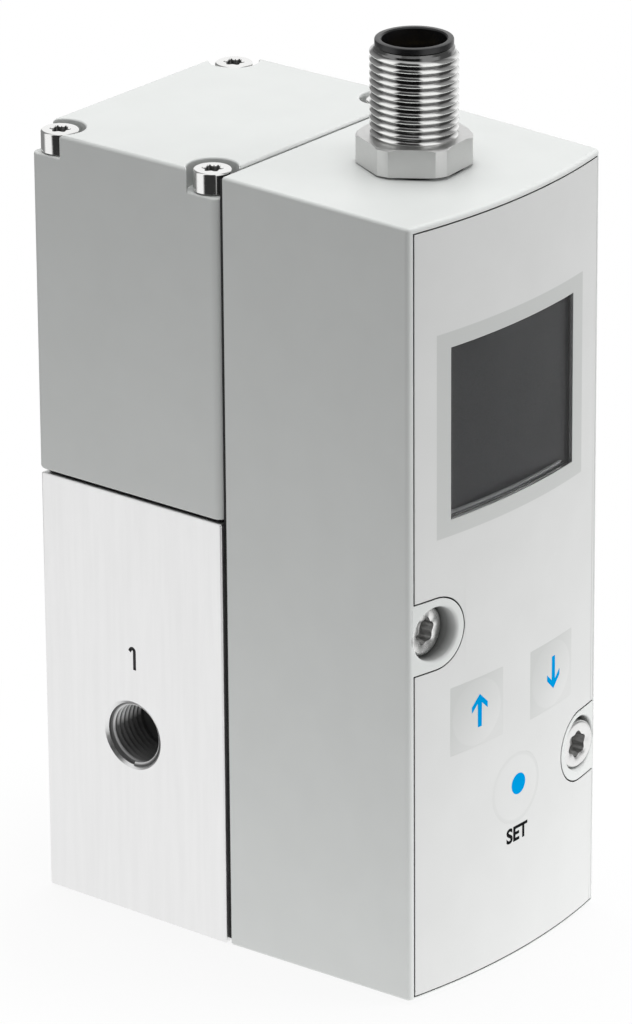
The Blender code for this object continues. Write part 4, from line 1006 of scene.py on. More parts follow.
def front_panel(sizes):
    """The curved panel with its notches and openings."""
    panel = curved_band("panel", PANEL_HALF, PANEL_SINK, PANEL_THICK, PANEL_LOW.z, PANEL_HIGH.z)
    cut(panel, left_side(PANEL_LEFT), *screw_lands(LAND_RADIUS + sizes.panel_seam))
    cut(panel, *panel_openings())
    keys_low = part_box("edit_key")[0].z
    keys_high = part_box("up_key")[1].z
    keys_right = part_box("down_key")[1].x

    def to_round(spot):
        at_key = abs(spot.x) < keys_right and keys_low < spot.z < keys_high
        return on_curve(spot, PANEL_SINK) and spot.x < PANEL_HALF - TIGHT and not at_key

    soften_where(panel, to_round, sizes.panel_edge, 2)
    return smooth(panel)


def display_window():
    """The smoked plate in the panel's opening."""
    half = WINDOW_HIGH.x
    plate = curved_band("window", half, PANEL_SINK + 0.02 * MM, WINDOW_HIGH.y - front_y(half),
                        WINDOW_LOW.z, WINDOW_HIGH.z)
    return smooth(soften(plate, 0.1 * MM, 2, 60))


def display_bezel():
    """The frame between the window and the display module."""
    inset = 0.3 * MM
    half = MODULE_HIGH.x - inset
    back = MODULE_LOW.y - 0.05 * MM
    points = front_arc(half, PANEL_THICK + 0.05 * MM) + [(half, back), (-half, back)]
    bezel = prism("display_bezel", points, MODULE_LOW.z + inset, MODULE_HIGH.z - inset)
    opening = rectangle(WINDOW_LOW.x - KEY_FIT, WINDOW_HIGH.x + KEY_FIT, WINDOW_LOW.z - KEY_FIT,
                        WINDOW_HIGH.z + KEY_FIT)
    cut(bezel, prism("bezel_hole", opening, FRONT, back - inset + REACH, "Y"))
    return smooth(bezel)


def display_face():
    """The dark face of the display, in front of its module."""
    front = MODULE_LOW.y - 0.35 * MM
    return block("display_face", (WINDOW_LOW.x - KEY_FIT, front, WINDOW_LOW.z - KEY_FIT),
                 (WINDOW_HIGH.x + KEY_FIT, front + 0.3 * MM, WINDOW_HIGH.z + KEY_FIT))


def display_lip(steps=48, sides=20):
    """The pale rounded strip along the window's lower edge, behind the plate: a painted highlight.
    """
    start = WINDOW_LOW.x - KEY_FIT / 2
    height = WINDOW_LOW.z + LIP_RISE
    shape = bmesh.new()
    rings = []
    for i in range(steps + 1):
        x = start + (LIP_END - start) * i / steps
        left = (LIP_END - x) / LIP_RADIUS
        radius = LIP_RADIUS * math.sqrt(max(0.04, 1 - max(0.0, 1 - left) ** 2))
        behind = front_y(x, WINDOW_THICK + LIP_RADIUS + PANEL_SINK)
        ring = []
        for j in range(sides):
            angle = 2 * math.pi * j / sides
            ring.append(shape.verts.new((x, behind + radius * math.cos(angle),
                                         height + radius * math.sin(angle))))
        rings.append(ring)
    for first, second in zip(rings, rings[1:]):
        band(shape, first, second)
    shape.faces.new(rings[0])
    shape.faces.new(rings[-1])
    return smooth(piece_from("display_lip", shape))


def dome_line(way, radius):
    """Depth of the soft groove round a key's dome."""
    away = min(1.0, abs(way - radius) / RING_WIDTH)
    return RING_DEPTH * (0.5 + 0.5 * math.cos(math.pi * away))


def square_key(name, steps=44):
    """A cap with a fine front, its collar and its stem."""
    low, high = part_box(name)
    x, z = front_spot((low, high))
    wide, tall = (half - TINY for half in key_half(name))
    collar_front = high.y - STEM_LENGTH - KEY_COLLAR
    middle_y = collar_front + KEY_COLLAR / 2
    shape = bmesh.new()
    grid = []
    for i in range(steps + 1):
        px = wide * (2 * i / steps - 1)
        row = []
        for j in range(steps + 1):
            pz = tall * (2 * j / steps - 1)
            depth = dome_line(math.hypot(px, pz), tall - RING_WIDTH / 2)
            row.append(shape.verts.new((x + px, front_y(x + px, PANEL_SINK + depth), z + pz)))
        grid.append(row)
    for i in range(steps):
        for j in range(steps):
            shape.faces.new((grid[i][j], grid[i + 1][j], grid[i + 1][j + 1], grid[i][j + 1]))
    rim = [row[0] for row in grid[:-1]] + grid[-1][:-1]
    rim += [row[-1] for row in grid[:0:-1]] + grid[0][:0:-1]
    back = [shape.verts.new((v.co.x, middle_y, v.co.z)) for v in rim]
    band(shape, rim, back)
    shape.faces.new(back)
    cap = piece_from(name + "_cap", shape)
    collar = rounded_outline(rectangle(low.x, high.x, low.z, high.z), KEY_CORNER, 4)
    join(cap, prism("collar", collar, collar_front, collar_front + KEY_COLLAR, "Y"),
         rod("stem", along("+Y", x, 0, z), STEM_RADIUS, middle_y, high.y, 32))
    return smooth(cap)


def round_key(name="edit_key"):
    """The round cap with its dome, collar and stem."""
    low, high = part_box(name)
    x, z = front_spot((low, high))
    radius = key_half(name)[0] - TINY
    collar_front = high.y - STEM_LENGTH - KEY_COLLAR
    middle_y = collar_front + KEY_COLLAR / 2
    rings = [(0, -middle_y), (radius, -middle_y)]
    for i in range(24, 0, -1):
        far = radius * i / 24
        depth = PANEL_SINK + dome_line(far, radius - RING_WIDTH)
        rings.append((far, lambda a, far=far, d=depth: -front_y(x + far * math.cos(a), d)))
    rings.append((0, -front_y(x, PANEL_SINK)))
    cap = loft("edit_key_cap", rings, along("-Y", x, 0, z))
    axis = along("+Y", x, 0, z)
    join(cap, rod("collar", axis, (high.x - low.x) / 2, collar_front, collar_front + KEY_COLLAR),
         rod("stem", axis, STEM_RADIUS, middle_y, high.y, 32))
    return smooth(cap)


def printed(name, outline, centre):
    """A thin print that follows the curved front. Its outline is in x and z."""
    points = [(centre[0] + x, centre[1] + z) for x, z in outline]
    thick = 0.03 * MM
    return smooth(bend(prism(name, points, 0.0, thick, "Y"), PANEL_SINK - thick / 2))


def arrow_outline(way):
    """A plain arrow that points up, or down when way is -1."""
    half = [(0.0, 2.4), (1.57, 0.85), (1.57, -0.05), (0.42, 1.05), (0.38, -2.4)]
    whole = half + [(-x, z) for x, z in half[:0:-1]]
    return [(x * MM, way * z * MM) for x, z in whole]


def label(name, words, height, centre):
    """A short plain word printed on the panel."""
    curve = bpy.data.curves.new(name, "FONT")
    curve.body = words
    curve.size = height * 1.42
    curve.align_x = "CENTER"
    curve.align_y = "CENTER"
    curve.extrude = 0.01 * MM
    curve.offset = 0.1 * MM
    curve.resolution_u = 6
    upright = Matrix.Rotation(math.pi / 2, 4, "X")
    place = Matrix.Translation((centre[0], 0, centre[1])) @ upright
    return bend(piece_from_curve(name, curve, place), PANEL_SINK - 0.005 * MM)


# Screws

def quarter(radius):
    """Seven points of a quarter turn, each as its way out and its way up."""
    angles = [math.radians(90 * i / 6) for i in range(7)]
    return [(radius * math.cos(angle), radius * math.sin(angle)) for angle in angles]


def six_lobes(radius, swing):
    """A recess outline with six rounded lobes, as a radius for each angle."""
    return lambda angle: radius + swing * math.cos(6 * angle)


def screw_rings(head, height, shank, length, edge, recess, swing, lead):
    """Rings of a screw whose head stands on z = 0."""
    rings = [(0, -length), (shank * 0.7, -length), (shank, -length + shank * 0.4), (shank, 0.0),
             (head - edge / 2, 0.0), (head, edge / 2)]
    rings += [(head - edge + out, height - edge + up) for out, up in quarter(edge)]
    lobes = six_lobes(recess, swing)
    floor = height - recess * 1.25
    return rings + [
        (six_lobes(recess + lead, swing), height), (lobes, height - 0.12 * MM), (lobes, floor),
        (recess * 0.45, floor - recess * 0.25), (0, floor - recess * 0.4)]


def shade_recess(piece, material, tops, radius, depth):
    """Gives each screw's recess a darker material of its own, as painted shade. The tops hold
    their heads' axes.
    """
    piece.data.materials.append(material)
    last = len(piece.data.materials) - 1
    for polygon in piece.data.polygons:
        for top in tops:
            spot = top @ polygon.center
            if math.hypot(spot.x, spot.y) < radius and -depth < spot.z < -TIGHT:
                polygon.material_index = last


def mounting_screws(material, recess):
    """The two long screws in their bores. The left head is a little taller."""
    for name, box, turn, taller in (("left", MOUNTING_SCREWS[0], 12, 0.35 * MM),
                                    ("right", MOUNTING_SCREWS[1], 20, 0.0)):
        low, high = box
        x, z = front_spot(box)
        seat = low.y + HEAD_HEIGHT
        tall = HEAD_HEIGHT + taller
        rings = screw_rings((high.x - low.x) / 2, tall, 2.0 * MM, high.y - seat, 0.35 * MM,
                            1.76 * MM, 0.17 * MM, 0.24 * MM)
        place = along("-Y", x, seat, z) @ Matrix.Rotation(math.radians(turn), 4, "Z")
        piece = smooth(loft("mounting_screw_head_" + name, rings, place, 120))
        dress(piece, material, nodes=["mounting_screw_" + name])
        top = place @ Matrix.Translation((0, 0, tall))
        shade_recess(piece, recess, [top.inverted()], 2.0 * MM, 3.0 * MM)


def cover_screws(material, recess):
    """The four cover screws, one modelled and copied onto its places."""
    low, high = COVER_SCREWS[0]
    seat = high.z - COVER_HEAD
    rings = screw_rings((high.x - low.x) / 2, COVER_HEAD, 1.5 * MM, seat - low.z, 0.3 * MM,
                        1.22 * MM, 0.19 * MM, 0.08 * MM)
    pattern = smooth(loft("screw_pattern", rings))
    piece = copied("cover_screws", pattern, [(x, y, seat) for x, y in COVER_SPOTS], material)
    dress(piece, material, nodes=COVER_SCREW_NODES)
    tops = [Matrix.Translation((-x, -y, -high.z)) for x, y in COVER_SPOTS]
    shade_recess(piece, recess, tops, 1.45 * MM, 2.5 * MM)


# Connector

def hexagon():
    """The hexagon's outline, its corners turned down to a diameter."""
    reach = math.degrees(math.acos(HEX_FLATS / HEX_CORNERS))
    points = []
    for side in range(6):
        flat = HEX_TURN + 60 * side
        points += arc(CONNECTOR, HEX_CORNERS / 2, flat + reach, flat + 60 - reach, 8)
    return points


def connector_hexagon(seat, top):
    """The hexagon with its turned upper corners and its bore."""
    axis = along("+Z", *CONNECTOR, 0)
    nut = prism("hex", hexagon(), seat, top)
    corner = HEX_CORNERS / 2 + TINY
    above = top + 2 * HAIR
    boolean(nut, "INTERSECT", [loft("hex_turned", [
        (0, seat - REACH), (corner, seat - REACH), (corner, top - HEX_CHAMFER),
        (corner - 1.6 * HEX_CHAMFER, above), (0, above)], axis)])
    cut(nut, rod("hex_bore", axis, SHELL_ROOT - 0.18 * MM, seat - REACH, top + REACH))
    return smooth(nut)


def connector_shell(sizes, nickel, threaded):
    """Threaded shell with its hexagon and thread."""
    seat = SHELL_LOW.z + SEAT_TO_TAIL
    hex_top = seat + HEX_HEIGHT
    half_up = hex_top - HEX_HEIGHT / 2
    top = SHELL_HIGH.z
    relief = SHELL_ROOT - 0.08 * MM
    shell = loft("connector_body", [
        (SHELL_RADIUS, SHELL_LOW.z), (SHELL_RADIUS, half_up), (relief, half_up),
        (relief, hex_top + RELIEF), (SHELL_ROOT, hex_top + RELIEF + 0.1 * MM),
        (SHELL_ROOT, top - 0.35 * MM), (SHELL_ROOT - 0.3 * MM, top), (SHELL_BORE, top),
        (SHELL_BORE, SHELL_LOW.z)], along("+Z", *CONNECTOR, 0), closed=True)
    dress(connector_hexagon(seat, hex_top), nickel)
    dress(smooth(shell), threaded, nodes=["connector_shell"])
    start = hex_top - 0.2 * MM
    ridge = thread_ridge("connector_thread", along("+Z", *CONNECTOR, start),
                         SHELL_ROOT - 0.03 * MM, SHELL_RADIUS - TINY, sizes.plug_pitch,
                         top - start - 0.5 * MM, threaded)
    dress(ridge, threaded)


def connector_insert(black):
    """The insulating cup with its rim, key rib and contact holes."""
    top = INSERT_HIGH.z
    rim = INSERT_HIGH.x
    edge = RIM_EDGE
    floor = top - SOCKET_DEPTH
    axis = along("+Z", *CONNECTOR, 0)
    cup = loft("insert_cup", [
        (0, INSERT_LOW.z), (INSERT_OUTER, INSERT_LOW.z), (INSERT_OUTER, top - RIM_HEIGHT),
        (rim, top - RIM_HEIGHT), (rim, top - edge), (rim - edge * 0.3, top - edge * 0.3),
        (rim - edge, top), (INSERT_INNER + edge, top), (INSERT_INNER, top - edge),
        (INSERT_INNER, floor), (0, floor)], axis)
    rib = 0.45 * MM
    key = block("key_rib", (INSERT_INNER - 2 * rib, -rib, floor - rib),
                (INSERT_INNER + rib / 2, rib, top - 0.5 * MM))
    key.data.transform(axis @ Matrix.Rotation(KEY_TURN, 4, "Z"))
    join(cup, key)
    cut(cup, *[rod("pin_hole", along("+Z", *level_spot(pin), 0), PIN_RADIUS + TIGHT,
                   INSERT_LOW.z - REACH, floor + TIGHT, 24) for pin in PINS])
    dress(smooth(cup), black, nodes=["connector_insert"])


def contacts(gold):
    """The eight contacts, one modelled and copied onto its places."""
    low = PINS[0][0].z
    shoulder = PINS[0][1].z - low - PIN_RADIUS
    dome = [(out, shoulder + up) for out, up in quarter(PIN_RADIUS)[:-1]]
    rings = [(0, 0), (PIN_RADIUS, 0), *dome, (0, shoulder + PIN_RADIUS)]
    pattern = smooth(loft("pin_pattern", rings, sides=24))
    piece = copied("contacts", pattern, [(*level_spot(pin), low) for pin in PINS], gold)
    dress(piece, gold, nodes=PIN_NODES)


# Valve body

def port_mouth(axis):
    """The countersunk mouth of a port, its local Z running into the body."""
    rings = [(0, -REACH), (PORT_MOUTH, -REACH), (PORT_MOUTH, 0.0), (PORT_ROOT, MOUTH_DEPTH),
             (0, MOUTH_DEPTH)]
    return loft("port_mouth", rings, axis)


def port_bore(axis, paint):
    """The rest of a port, as a painted cutter."""
    chamfer = 0.3 * MM
    rings = [(0, 0.0), (PORT_ROOT, 0.0), (PORT_ROOT, PORT_DEPTH - chamfer),
             (PORT_RADIUS - chamfer, PORT_DEPTH), (0, PORT_DEPTH)]
    tool = loft("port_bore", rings, axis)
    tool.data.materials.append(paint)
    return tool


def digit_path(digit):
    """Centre line of a plain 1 or 2 of height 1."""
    if digit == 1:
        hook = arc((-0.11, 0.36), 0.115, 0, 150, 8)
        return [(0.005, -0.5), (0.005, 0.36), *hook, (-0.27, 0.32)]
    return [*arc((0.0, 0.25), 0.25, 165, -35, 14), (-0.25, -0.5), (0.27, -0.5)]


def number_cutter(digit, height, place, paint):
    """A rounded groove along a number's centre line, as a painted cutter."""
    curve = bpy.data.curves.new("number", "CURVE")
    curve.dimensions = "3D"
    curve.bevel_depth = NUMBER_STROKE / 2
    curve.bevel_resolution = 3
    curve.use_fill_caps = True
    path = digit_path(digit)
    spline = curve.splines.new("POLY")
    spline.points.add(len(path) - 1)
    for point, (x, y) in zip(spline.points, path):
        point.co = (x * height, y * height, 0, 1)
    tool = piece_from_curve("number_%d" % digit, curve, place)
    tool.data.materials.clear()
    tool.data.materials.append(paint)
    return tool


def number_place(side, face):
    """Where a port's number stands on the left (-1) or right (1) face."""
    return Matrix(((0, 0, side, face), (side, 0, 0, NUMBER_Y), (0, 1, 0, PORT_Z + NUMBER_LIFT),
                   (0, 0, 0, 1)))


def valve_bore():
    """The stepped bore from the diaphragm's chamber to the foot, as a cutter."""
    top = BODY_HIGH.z + REACH
    floor = BODY_HIGH.z - CHAMBER_DEPTH
    rim_floor = BODY_HIGH.z - 0.4 * MM
    inlet_top = SEAT_TOP + TIGHT
    inlet_low = PLUG_HEIGHT + TIGHT
    plug = PLUG_RADIUS + TIGHT
    rings = [(0, top), (RIM_RADIUS + GAP, top), (RIM_RADIUS + GAP, rim_floor),
             (CHAMBER_RADIUS, rim_floor), (CHAMBER_RADIUS, floor), (BORE_RADIUS, floor),
             (BORE_RADIUS, inlet_top), (INLET_RADIUS, inlet_top), (INLET_RADIUS, inlet_low),
             (plug, inlet_low), (plug, -REACH), (0, -REACH)]
    return loft("valve_bore", rings, along("+Z", 0, VALVE_Y, 0))


def inner_channels():
    """The air channels from the ports and to the sensor, as cutters."""
    near = PORT_DEPTH - 1.0 * MM
    far = BODY_HIGH.x - INLET_RADIUS + REACH
    sensor = along("+Y", 0, 0, SENSOR_Z)
    return (
        rod("supply", along("+X", BODY_LOW.x, VALVE_Y, SUPPLY_Z), CHANNEL_RADIUS, near, far, 32),
        rod("output", along("-X", BODY_HIGH.x, VALVE_Y, OUTPUT_Z), CHANNEL_RADIUS, near, far, 32),
        rod("sensor_tap", sensor, 3.0 * MM, -REACH, 3.6 * MM, 48),
        rod("sensor_channel", sensor, 1.0 * MM, 3.0 * MM, VALVE_Y - INLET_RADIUS + REACH / 2,
            26))


def valve_body(sizes, aluminium, bored, paint):
    """The machined block with its bores, ports, threads and port numbers."""
    body = block("machined_body", BODY_LOW, BODY_HIGH)
    soften(body, sizes.block_edge, 3)
    cut(body, valve_bore())
    left = along("+X", BODY_LOW.x, VALVE_Y, PORT_Z)
    right = along("-X", BODY_HIGH.x, VALVE_Y, PORT_Z)
    body.data.materials.append(aluminium)
    cut(body, port_mouth(left), port_mouth(right))
    cut(body, port_bore(left, bored), port_bore(right, bored), painted=True)
    cut(body, *inner_channels())
    for x, z in SCREW_SPOTS:
        cut(body, rod("mount_thread", along("+Y", x, 0, z), MOUNT_THREAD, -REACH, MOUNT_DEPTH,
                      32))
    for box, spot in zip(COVER_SCREWS, COVER_SPOTS):
        cut(body, rod("cover_thread", along("+Z", *spot, 0), COVER_THREAD, box[0].z - GAP,
                      BODY_HIGH.z + REACH, 32))
    cut(body, number_cutter(1, sizes.number_height, number_place(-1, BODY_LOW.x), paint),
        number_cutter(2, sizes.number_height, number_place(1, BODY_HIGH.x), paint), painted=True)
    smooth(body)
    dress(body, aluminium, nodes=["valve_body"])
    port_thread("port_1_thread", left, sizes, PORT_DEPTH - 1.2 * MM, bored)
    port_thread("port_2_thread", right, sizes, PORT_DEPTH - 1.2 * MM, bored)


def port_thread(name, axis, sizes, length, material):
    """A port's thread, which starts a little behind the mouth."""
    ridge = thread_ridge(name, axis @ Matrix.Translation((0, 0, PORT_SINK)),
                         PORT_ROOT + 0.02 * MM, PORT_TIP, sizes.port_pitch, length, material)
    dress(ridge, material)


def exhaust_plug(sizes, aluminium):
    """The plug in the foot, with port 3's thread."""
    z = PLUG_LOW.z
    groove = PLUG_RADIUS - 1.0 * MM
    groove_low, groove_high = PLUG_GROOVE
    rings = [(STEM_GUIDE, PLUG_HIGH.z), (PLUG_GUIDE, PLUG_HIGH.z), (PLUG_GUIDE, PLUG_HEIGHT),
             (PLUG_RADIUS, PLUG_HEIGHT), (PLUG_RADIUS, groove_high), (groove, groove_high),
             (groove, groove_low), (PLUG_RADIUS, groove_low), (PLUG_RADIUS, z + PLUG_EDGE),
             (PLUG_RADIUS - PLUG_EDGE, z), (PORT_MOUTH, z), (PORT_ROOT, z + MOUTH_DEPTH),
             (PORT_ROOT, PLUG_PORT_TOP), (STEM_GUIDE, PLUG_PORT_TOP)]
    plug = loft("end_plug", rings, along("+Z", 0, VALVE_Y, 0), closed=True)
    dress(smooth(plug), aluminium, nodes=["exhaust_plug"])
    port_thread("port_3_thread", along("+Z", 0, VALVE_Y, z), sizes,
                PLUG_PORT_TOP - z - PORT_SINK - 0.4 * MM, aluminium)


# Pilot housing

def pocket_cutter(x, y):
    """The pocket of a cover screw, open at the corner."""
    side = 1 if x > 0 else -1
    end = 1 if y > VALVE_Y else -1
    far = POCKET_SIDE + REACH
    outline = arc((0, 0), POCKET_RADIUS, 0, -270, 40) + [(0, far), (far, far), (far, 0)]
    points = [(x + side * px, y + end * py) for px, py in outline]
    return prism("pocket", points, HEIGHT - POCKET_DEPTH, HEIGHT + REACH)


def at_pocket(spot):
    """Whether a corner of the cover is on a pocket's edge, other than its inner foot."""
    foot = HEIGHT - POCKET_DEPTH
    near = min(math.hypot(spot.x - x, spot.y - y) for x, y in COVER_SPOTS)
    inner_foot = near < POCKET_RADIUS + NEAR and spot.z < foot + TINY
    margin = 0.6 * MM
    outside = (abs(abs(spot.x) - HALF) < margin or spot.y < PILOT_LOW.y + margin
               or spot.y > PILOT_HIGH.y - margin)
    return (spot.z >= foot - TINY and near < POCKET_RADIUS + 2.2 * MM
            and (not inner_foot or outside))


def pilot_housing(sizes, plastic):
    """The moulded cover with its open corner pockets."""
    corners = rectangle(PILOT_LOW.x, PILOT_HIGH.x, PILOT_LOW.y, PILOT_HIGH.y)
    cover = prism("pilot_cover", rounded_outline(corners, PILOT_CORNER, 6), PILOT_LOW.z, HEIGHT)
    soften(cover, sizes.case_edge, 4)
    wall = PILOT_WALL
    cavity = block("pilot_cavity", (PILOT_LOW.x + wall, PILOT_LOW.y + wall, PILOT_LOW.z - REACH),
                   (PILOT_HIGH.x - wall, PILOT_HIGH.y - wall, HEIGHT - PILOT_ROOF))
    axes_up = [along("+Z", *spot, 0) for spot in COVER_SPOTS]
    cut(cavity, *[rod("post", axis, POST_RADIUS, PILOT_LOW.z - 2 * REACH, HEIGHT)
                  for axis in axes_up])
    cut(cover, cavity)
    cut(cover, *[pocket_cutter(*spot) for spot in COVER_SPOTS])
    soften_where(cover, at_pocket, POCKET_EDGE, 3)
    cut(cover, *[rod("hole", axis, COVER_HOLE, PILOT_LOW.z - REACH, HEIGHT, 32)
                 for axis in axes_up],
        header_slot(-REACH, PILOT_LOW.y + wall + REACH))
    for vertex in cover.data.vertices:
        vertex.co.y = min(max(vertex.co.y, PILOT_LOW.y), PILOT_HIGH.y)
    dress(smooth(cover), plastic, nodes=["pilot_housing"])


# Operators

class REGULATOR_OT_case(bpy.types.Operator):
    """Makes the electronics case, the gasket's rim and the pilot housing."""

    bl_idname = "regulator.case"
    bl_label = "Housings"

    def execute(self, context):
        sizes = context.scene.regulator_sizes
        colours = context.scene.regulator_colours
        moulded = {"depth": 0.008 * MM, "shade": 0.012}
        plain = finish("light grey plastic", colours.plastic, 0.46, **moulded)
        fronted = finish("case plastic", colours.plastic, 0.46,
                         marks=((shaded_gaps, PAINTED_SHADE_TONE),), **moulded)
        dress(electronics_case(sizes), fronted,
              nodes=["electronics_housing"])
        dress(gasket_edge(), finish("gasket rubber", colours.black, 0.75, depth=0.02 * MM))
        pilot_housing(sizes, plain)
        return {"FINISHED"}


class REGULATOR_OT_panel(bpy.types.Operator):
    """Makes the front panel, its word and the display."""

    bl_idname = "regulator.panel"
    bl_label = "Front panel and display"

    def execute(self, context):
        sizes = context.scene.regulator_sizes
        colours = context.scene.regulator_colours
        foil = foil_finish("panel foil", colours, window_band)
        dress(front_panel(sizes), foil, nodes=["front_panel"])
        ink = finish("dark print", tinted(colours.lettering, -0.7), 0.6, shine=0.0)
        x, z = front_spot(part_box("edit_key"))
        dress(label("key_word", "SET", WORD_HEIGHT, (x + WORD_SHIFT, z - WORD_DROP)), ink)
        dress(display_window(), glass_finish("smoked window"),
              nodes=["display_window"])
        dress(display_bezel(), finish("bezel plastic", (0.5, 0.5, 0.505), 0.3))
        dress(display_face(), finish("display face", (0.188, 0.188, 0.19), 0.3))
        # A pale strip that stands in for a highlight: painted highlight
        dress(display_lip(), finish("lip plastic", (0.85, 0.85, 0.85), 0.4))
        return {"FINISHED"}


class REGULATOR_OT_keys(bpy.types.Operator):
    """Makes the three keys and their signs."""

    bl_idname = "regulator.keys"
    bl_label = "Keys"

    def execute(self, context):
        colours = context.scene.regulator_colours
        sign = finish("blue print", colours.sign, 0.6, shade=0.02, shine=0.0)
        for name, way in (("up_key", 1), ("down_key", -1)):
            x, z = front_spot(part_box(name))
            dome = key_half(name)[1] - RING_WIDTH / 2
            foil = foil_finish(name + " foil", colours, key_print_and_shade((x, z), dome, True))
            dress(square_key(name), foil, name, [name])
            arrow = printed(name + "_arrow", arrow_outline(way), (x + SIGN_SHIFT, z + SIGN_LIFT))
            dress(arrow, sign, name)
        x, z = front_spot(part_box("edit_key"))
        dome = key_half("edit_key")[0] - RING_WIDTH
        foil = foil_finish("edit key foil", colours, key_print_and_shade((x, z), dome, False))
        dress(round_key(), foil, "edit_key", ["edit_key"])
        dot = printed("edit_key_dot", arc((0, 0), DOT_RADIUS, 0, 355, 71),
                      (x + SIGN_SHIFT, z + DOT_LIFT))
        dress(dot, sign, "edit_key")
        return {"FINISHED"}


class REGULATOR_OT_screws(bpy.types.Operator):
    """Makes the mounting and cover screws."""

    bl_idname = "regulator.screws"
    bl_label = "Screws"

    def execute(self, context):
        nickel = context.scene.regulator_colours.nickel
        satin = finish("zinc plating", tinted(nickel, 0.36), 0.30, 1.0, fine=2600.0,
                       depth=0.006 * MM)
        bright = finish("bright nickel", tinted(nickel, 0.36), 0.12, 1.0, fine=1800.0,
                        depth=0.002 * MM, gloss=0.03)
        # Darker nickel in the screws' recesses: painted shade
        recess = finish("screw recess", tinted(nickel, -0.12), 0.35, 1.0, fine=1500.0)
        dark = finish("cover screw recess", tinted(nickel, -0.75), 0.4, 1.0, fine=1500.0)
        mounting_screws(satin, recess)
        cover_screws(bright, dark)
        return {"FINISHED"}


class REGULATOR_OT_connector(bpy.types.Operator):
    """Makes the round connector."""

    bl_idname = "regulator.connector"
    bl_label = "Connector"

    def execute(self, context):
        sizes = context.scene.regulator_sizes
        colours = context.scene.regulator_colours
        nickel = finish("hexagon nickel", tinted(colours.nickel, 0.02), 0.34, 1.0, fine=1600.0,
                        depth=0.002 * MM, gloss=0.05)
        # The thread's roots get painted shade
        threaded = finish("connector thread", tinted(colours.nickel, 0.4), 0.13, 1.0,
                          fine=1600.0, depth=0.002 * MM, marks=((thread_root_shade, PAINTED_SHADE_TONE),))
        connector_shell(sizes, nickel, threaded)
        connector_insert(finish("black insert", tinted(colours.black, -0.3), 0.32,
                                depth=0.006 * MM))
        contacts(finish("gold contact", (0.80, 0.58, 0.24), 0.22, 1.0))
        return {"FINISHED"}


class REGULATOR_OT_body(bpy.types.Operator):
    """Makes the valve body with its ports and the end plug."""

    bl_idname = "regulator.body"
    bl_label = "Valve body"

    def execute(self, context):
        sizes = context.scene.regulator_sizes
        colours = context.scene.regulator_colours
        aluminium = finish("machined aluminium", colours.aluminium, 0.34, 1.0, fine=900.0,
                           depth=0.006 * MM, shade=0.016, gloss=0.05, stretch=(6, 6, 0.35))
        bored = finish("threaded aluminium", tinted(colours.aluminium, 0.2), 0.4, 0.1,
                       fine=1500.0, marks=((port_shade, PAINTED_SHADE_TONE),))
        valve_body(sizes, aluminium, bored, finish("number paint", colours.lettering, 0.5))
        exhaust_plug(sizes, aluminium)
        return {"FINISHED"}


class REGULATOR_OT_inner(bpy.types.Operator):
    """Finishes the seals and the pieces inside."""

    bl_idname = "regulator.inner"
    bl_label = "Seals and inner pieces"

    def execute(self, context):
        colours = context.scene.regulator_colours
        finishes = {
            "light_grey_plastic": finish("inner plastic", colours.plastic, 0.5),
            "aluminium": finish("inner aluminium", colours.aluminium, 0.3, 1.0, fine=1500.0),
            "plated_brass": finish("inner brass", colours.nickel, 0.25, 1.0),
            "plated_steel": finish("inner steel", tinted(colours.nickel, -0.15), 0.3, 1.0),
            "soft_iron": finish("soft iron", (0.42, 0.42, 0.43), 0.42, 1.0, fine=2500.0),
            "spring_steel": finish("spring wire", (0.5, 0.5, 0.52), 0.28, 1.0),
            "black_plastic": finish("black plastic", colours.black, 0.4),
            "black_rubber": finish("black rubber", colours.black, 0.75, depth=0.02 * MM),
            "copper_winding": finish("copper winding", (0.62, 0.26, 0.11), 0.35, 1.0,
                                     fine=2000.0, stretch=(0.2, 0.2, 6)),
            "circuit_board": finish("circuit board", (0.015, 0.13, 0.055), 0.35, shade=0.15,
                                    fine=1500.0),
            "natural_plastic": finish("natural plastic", (0.70, 0.66, 0.56), 0.45),
            "panel_foil": finish("inner foil", colours.foil, 0.5),
            "tinted_window": finish("inner window", (0.05, 0.05, 0.055), 0.1),
            "gold_contact": finish("inner gold", (0.80, 0.58, 0.24), 0.25, 1.0),
        }
        for entry in frame["record"]["subparts"]:
            node = frame["nodes"][entry["node"]]
            if node.hide_render:
                continue
            node.data.materials.clear()
            node.data.materials.append(finishes[entry["material_slot"]])
        return {"FINISHED"}


# Stage, light and camera

VIEW_TURN = math.radians(-50.949)
VIEW_RISE = math.radians(21.824)
VIEW_ROLL = math.radians(-0.41)
VIEW_DISTANCE = 922.145 * MM
VIEW_TARGET = Vector((-1.714, 0.0, 58.237)) * MM
VIEW_LENS = 236.8
LAMP_TARGET = (0.0, 0.0, 60 * MM)

# Darker gaps between the room's white screens: compass angle, half width and depth
ROOM_GAPS = ((203, 36, 0.97), (88, 30, 0.75), (318, 27, 0.72))
WORLD_LIGHT = 0.455
TABLE_EDGE = 0.17
TABLE_LIGHT = 1.35
TABLE_SHADOW = 0.15


def camera():
    """The camera at the photograph's angle."""
    data = bpy.data.cameras.new("camera")
    data.lens = VIEW_LENS
    data.sensor_width = 36.0
    data.clip_start = 0.05
    data.clip_end = 20.0
    back = Vector((math.sin(VIEW_TURN) * math.cos(VIEW_RISE),
                   -math.cos(VIEW_TURN) * math.cos(VIEW_RISE), math.sin(VIEW_RISE)))
    right = Vector((math.cos(VIEW_TURN), math.sin(VIEW_TURN), 0.0))
    up = back.cross(right)
    rolled = right * math.cos(VIEW_ROLL) + up * math.sin(VIEW_ROLL)
    upward = up * math.cos(VIEW_ROLL) - right * math.sin(VIEW_ROLL)
    turn = Matrix((rolled, upward, back)).transposed().to_4x4()
    item = added("camera", data)
    item.matrix_world = Matrix.Translation(VIEW_TARGET + back * VIEW_DISTANCE) @ turn
    bpy.context.scene.camera = item


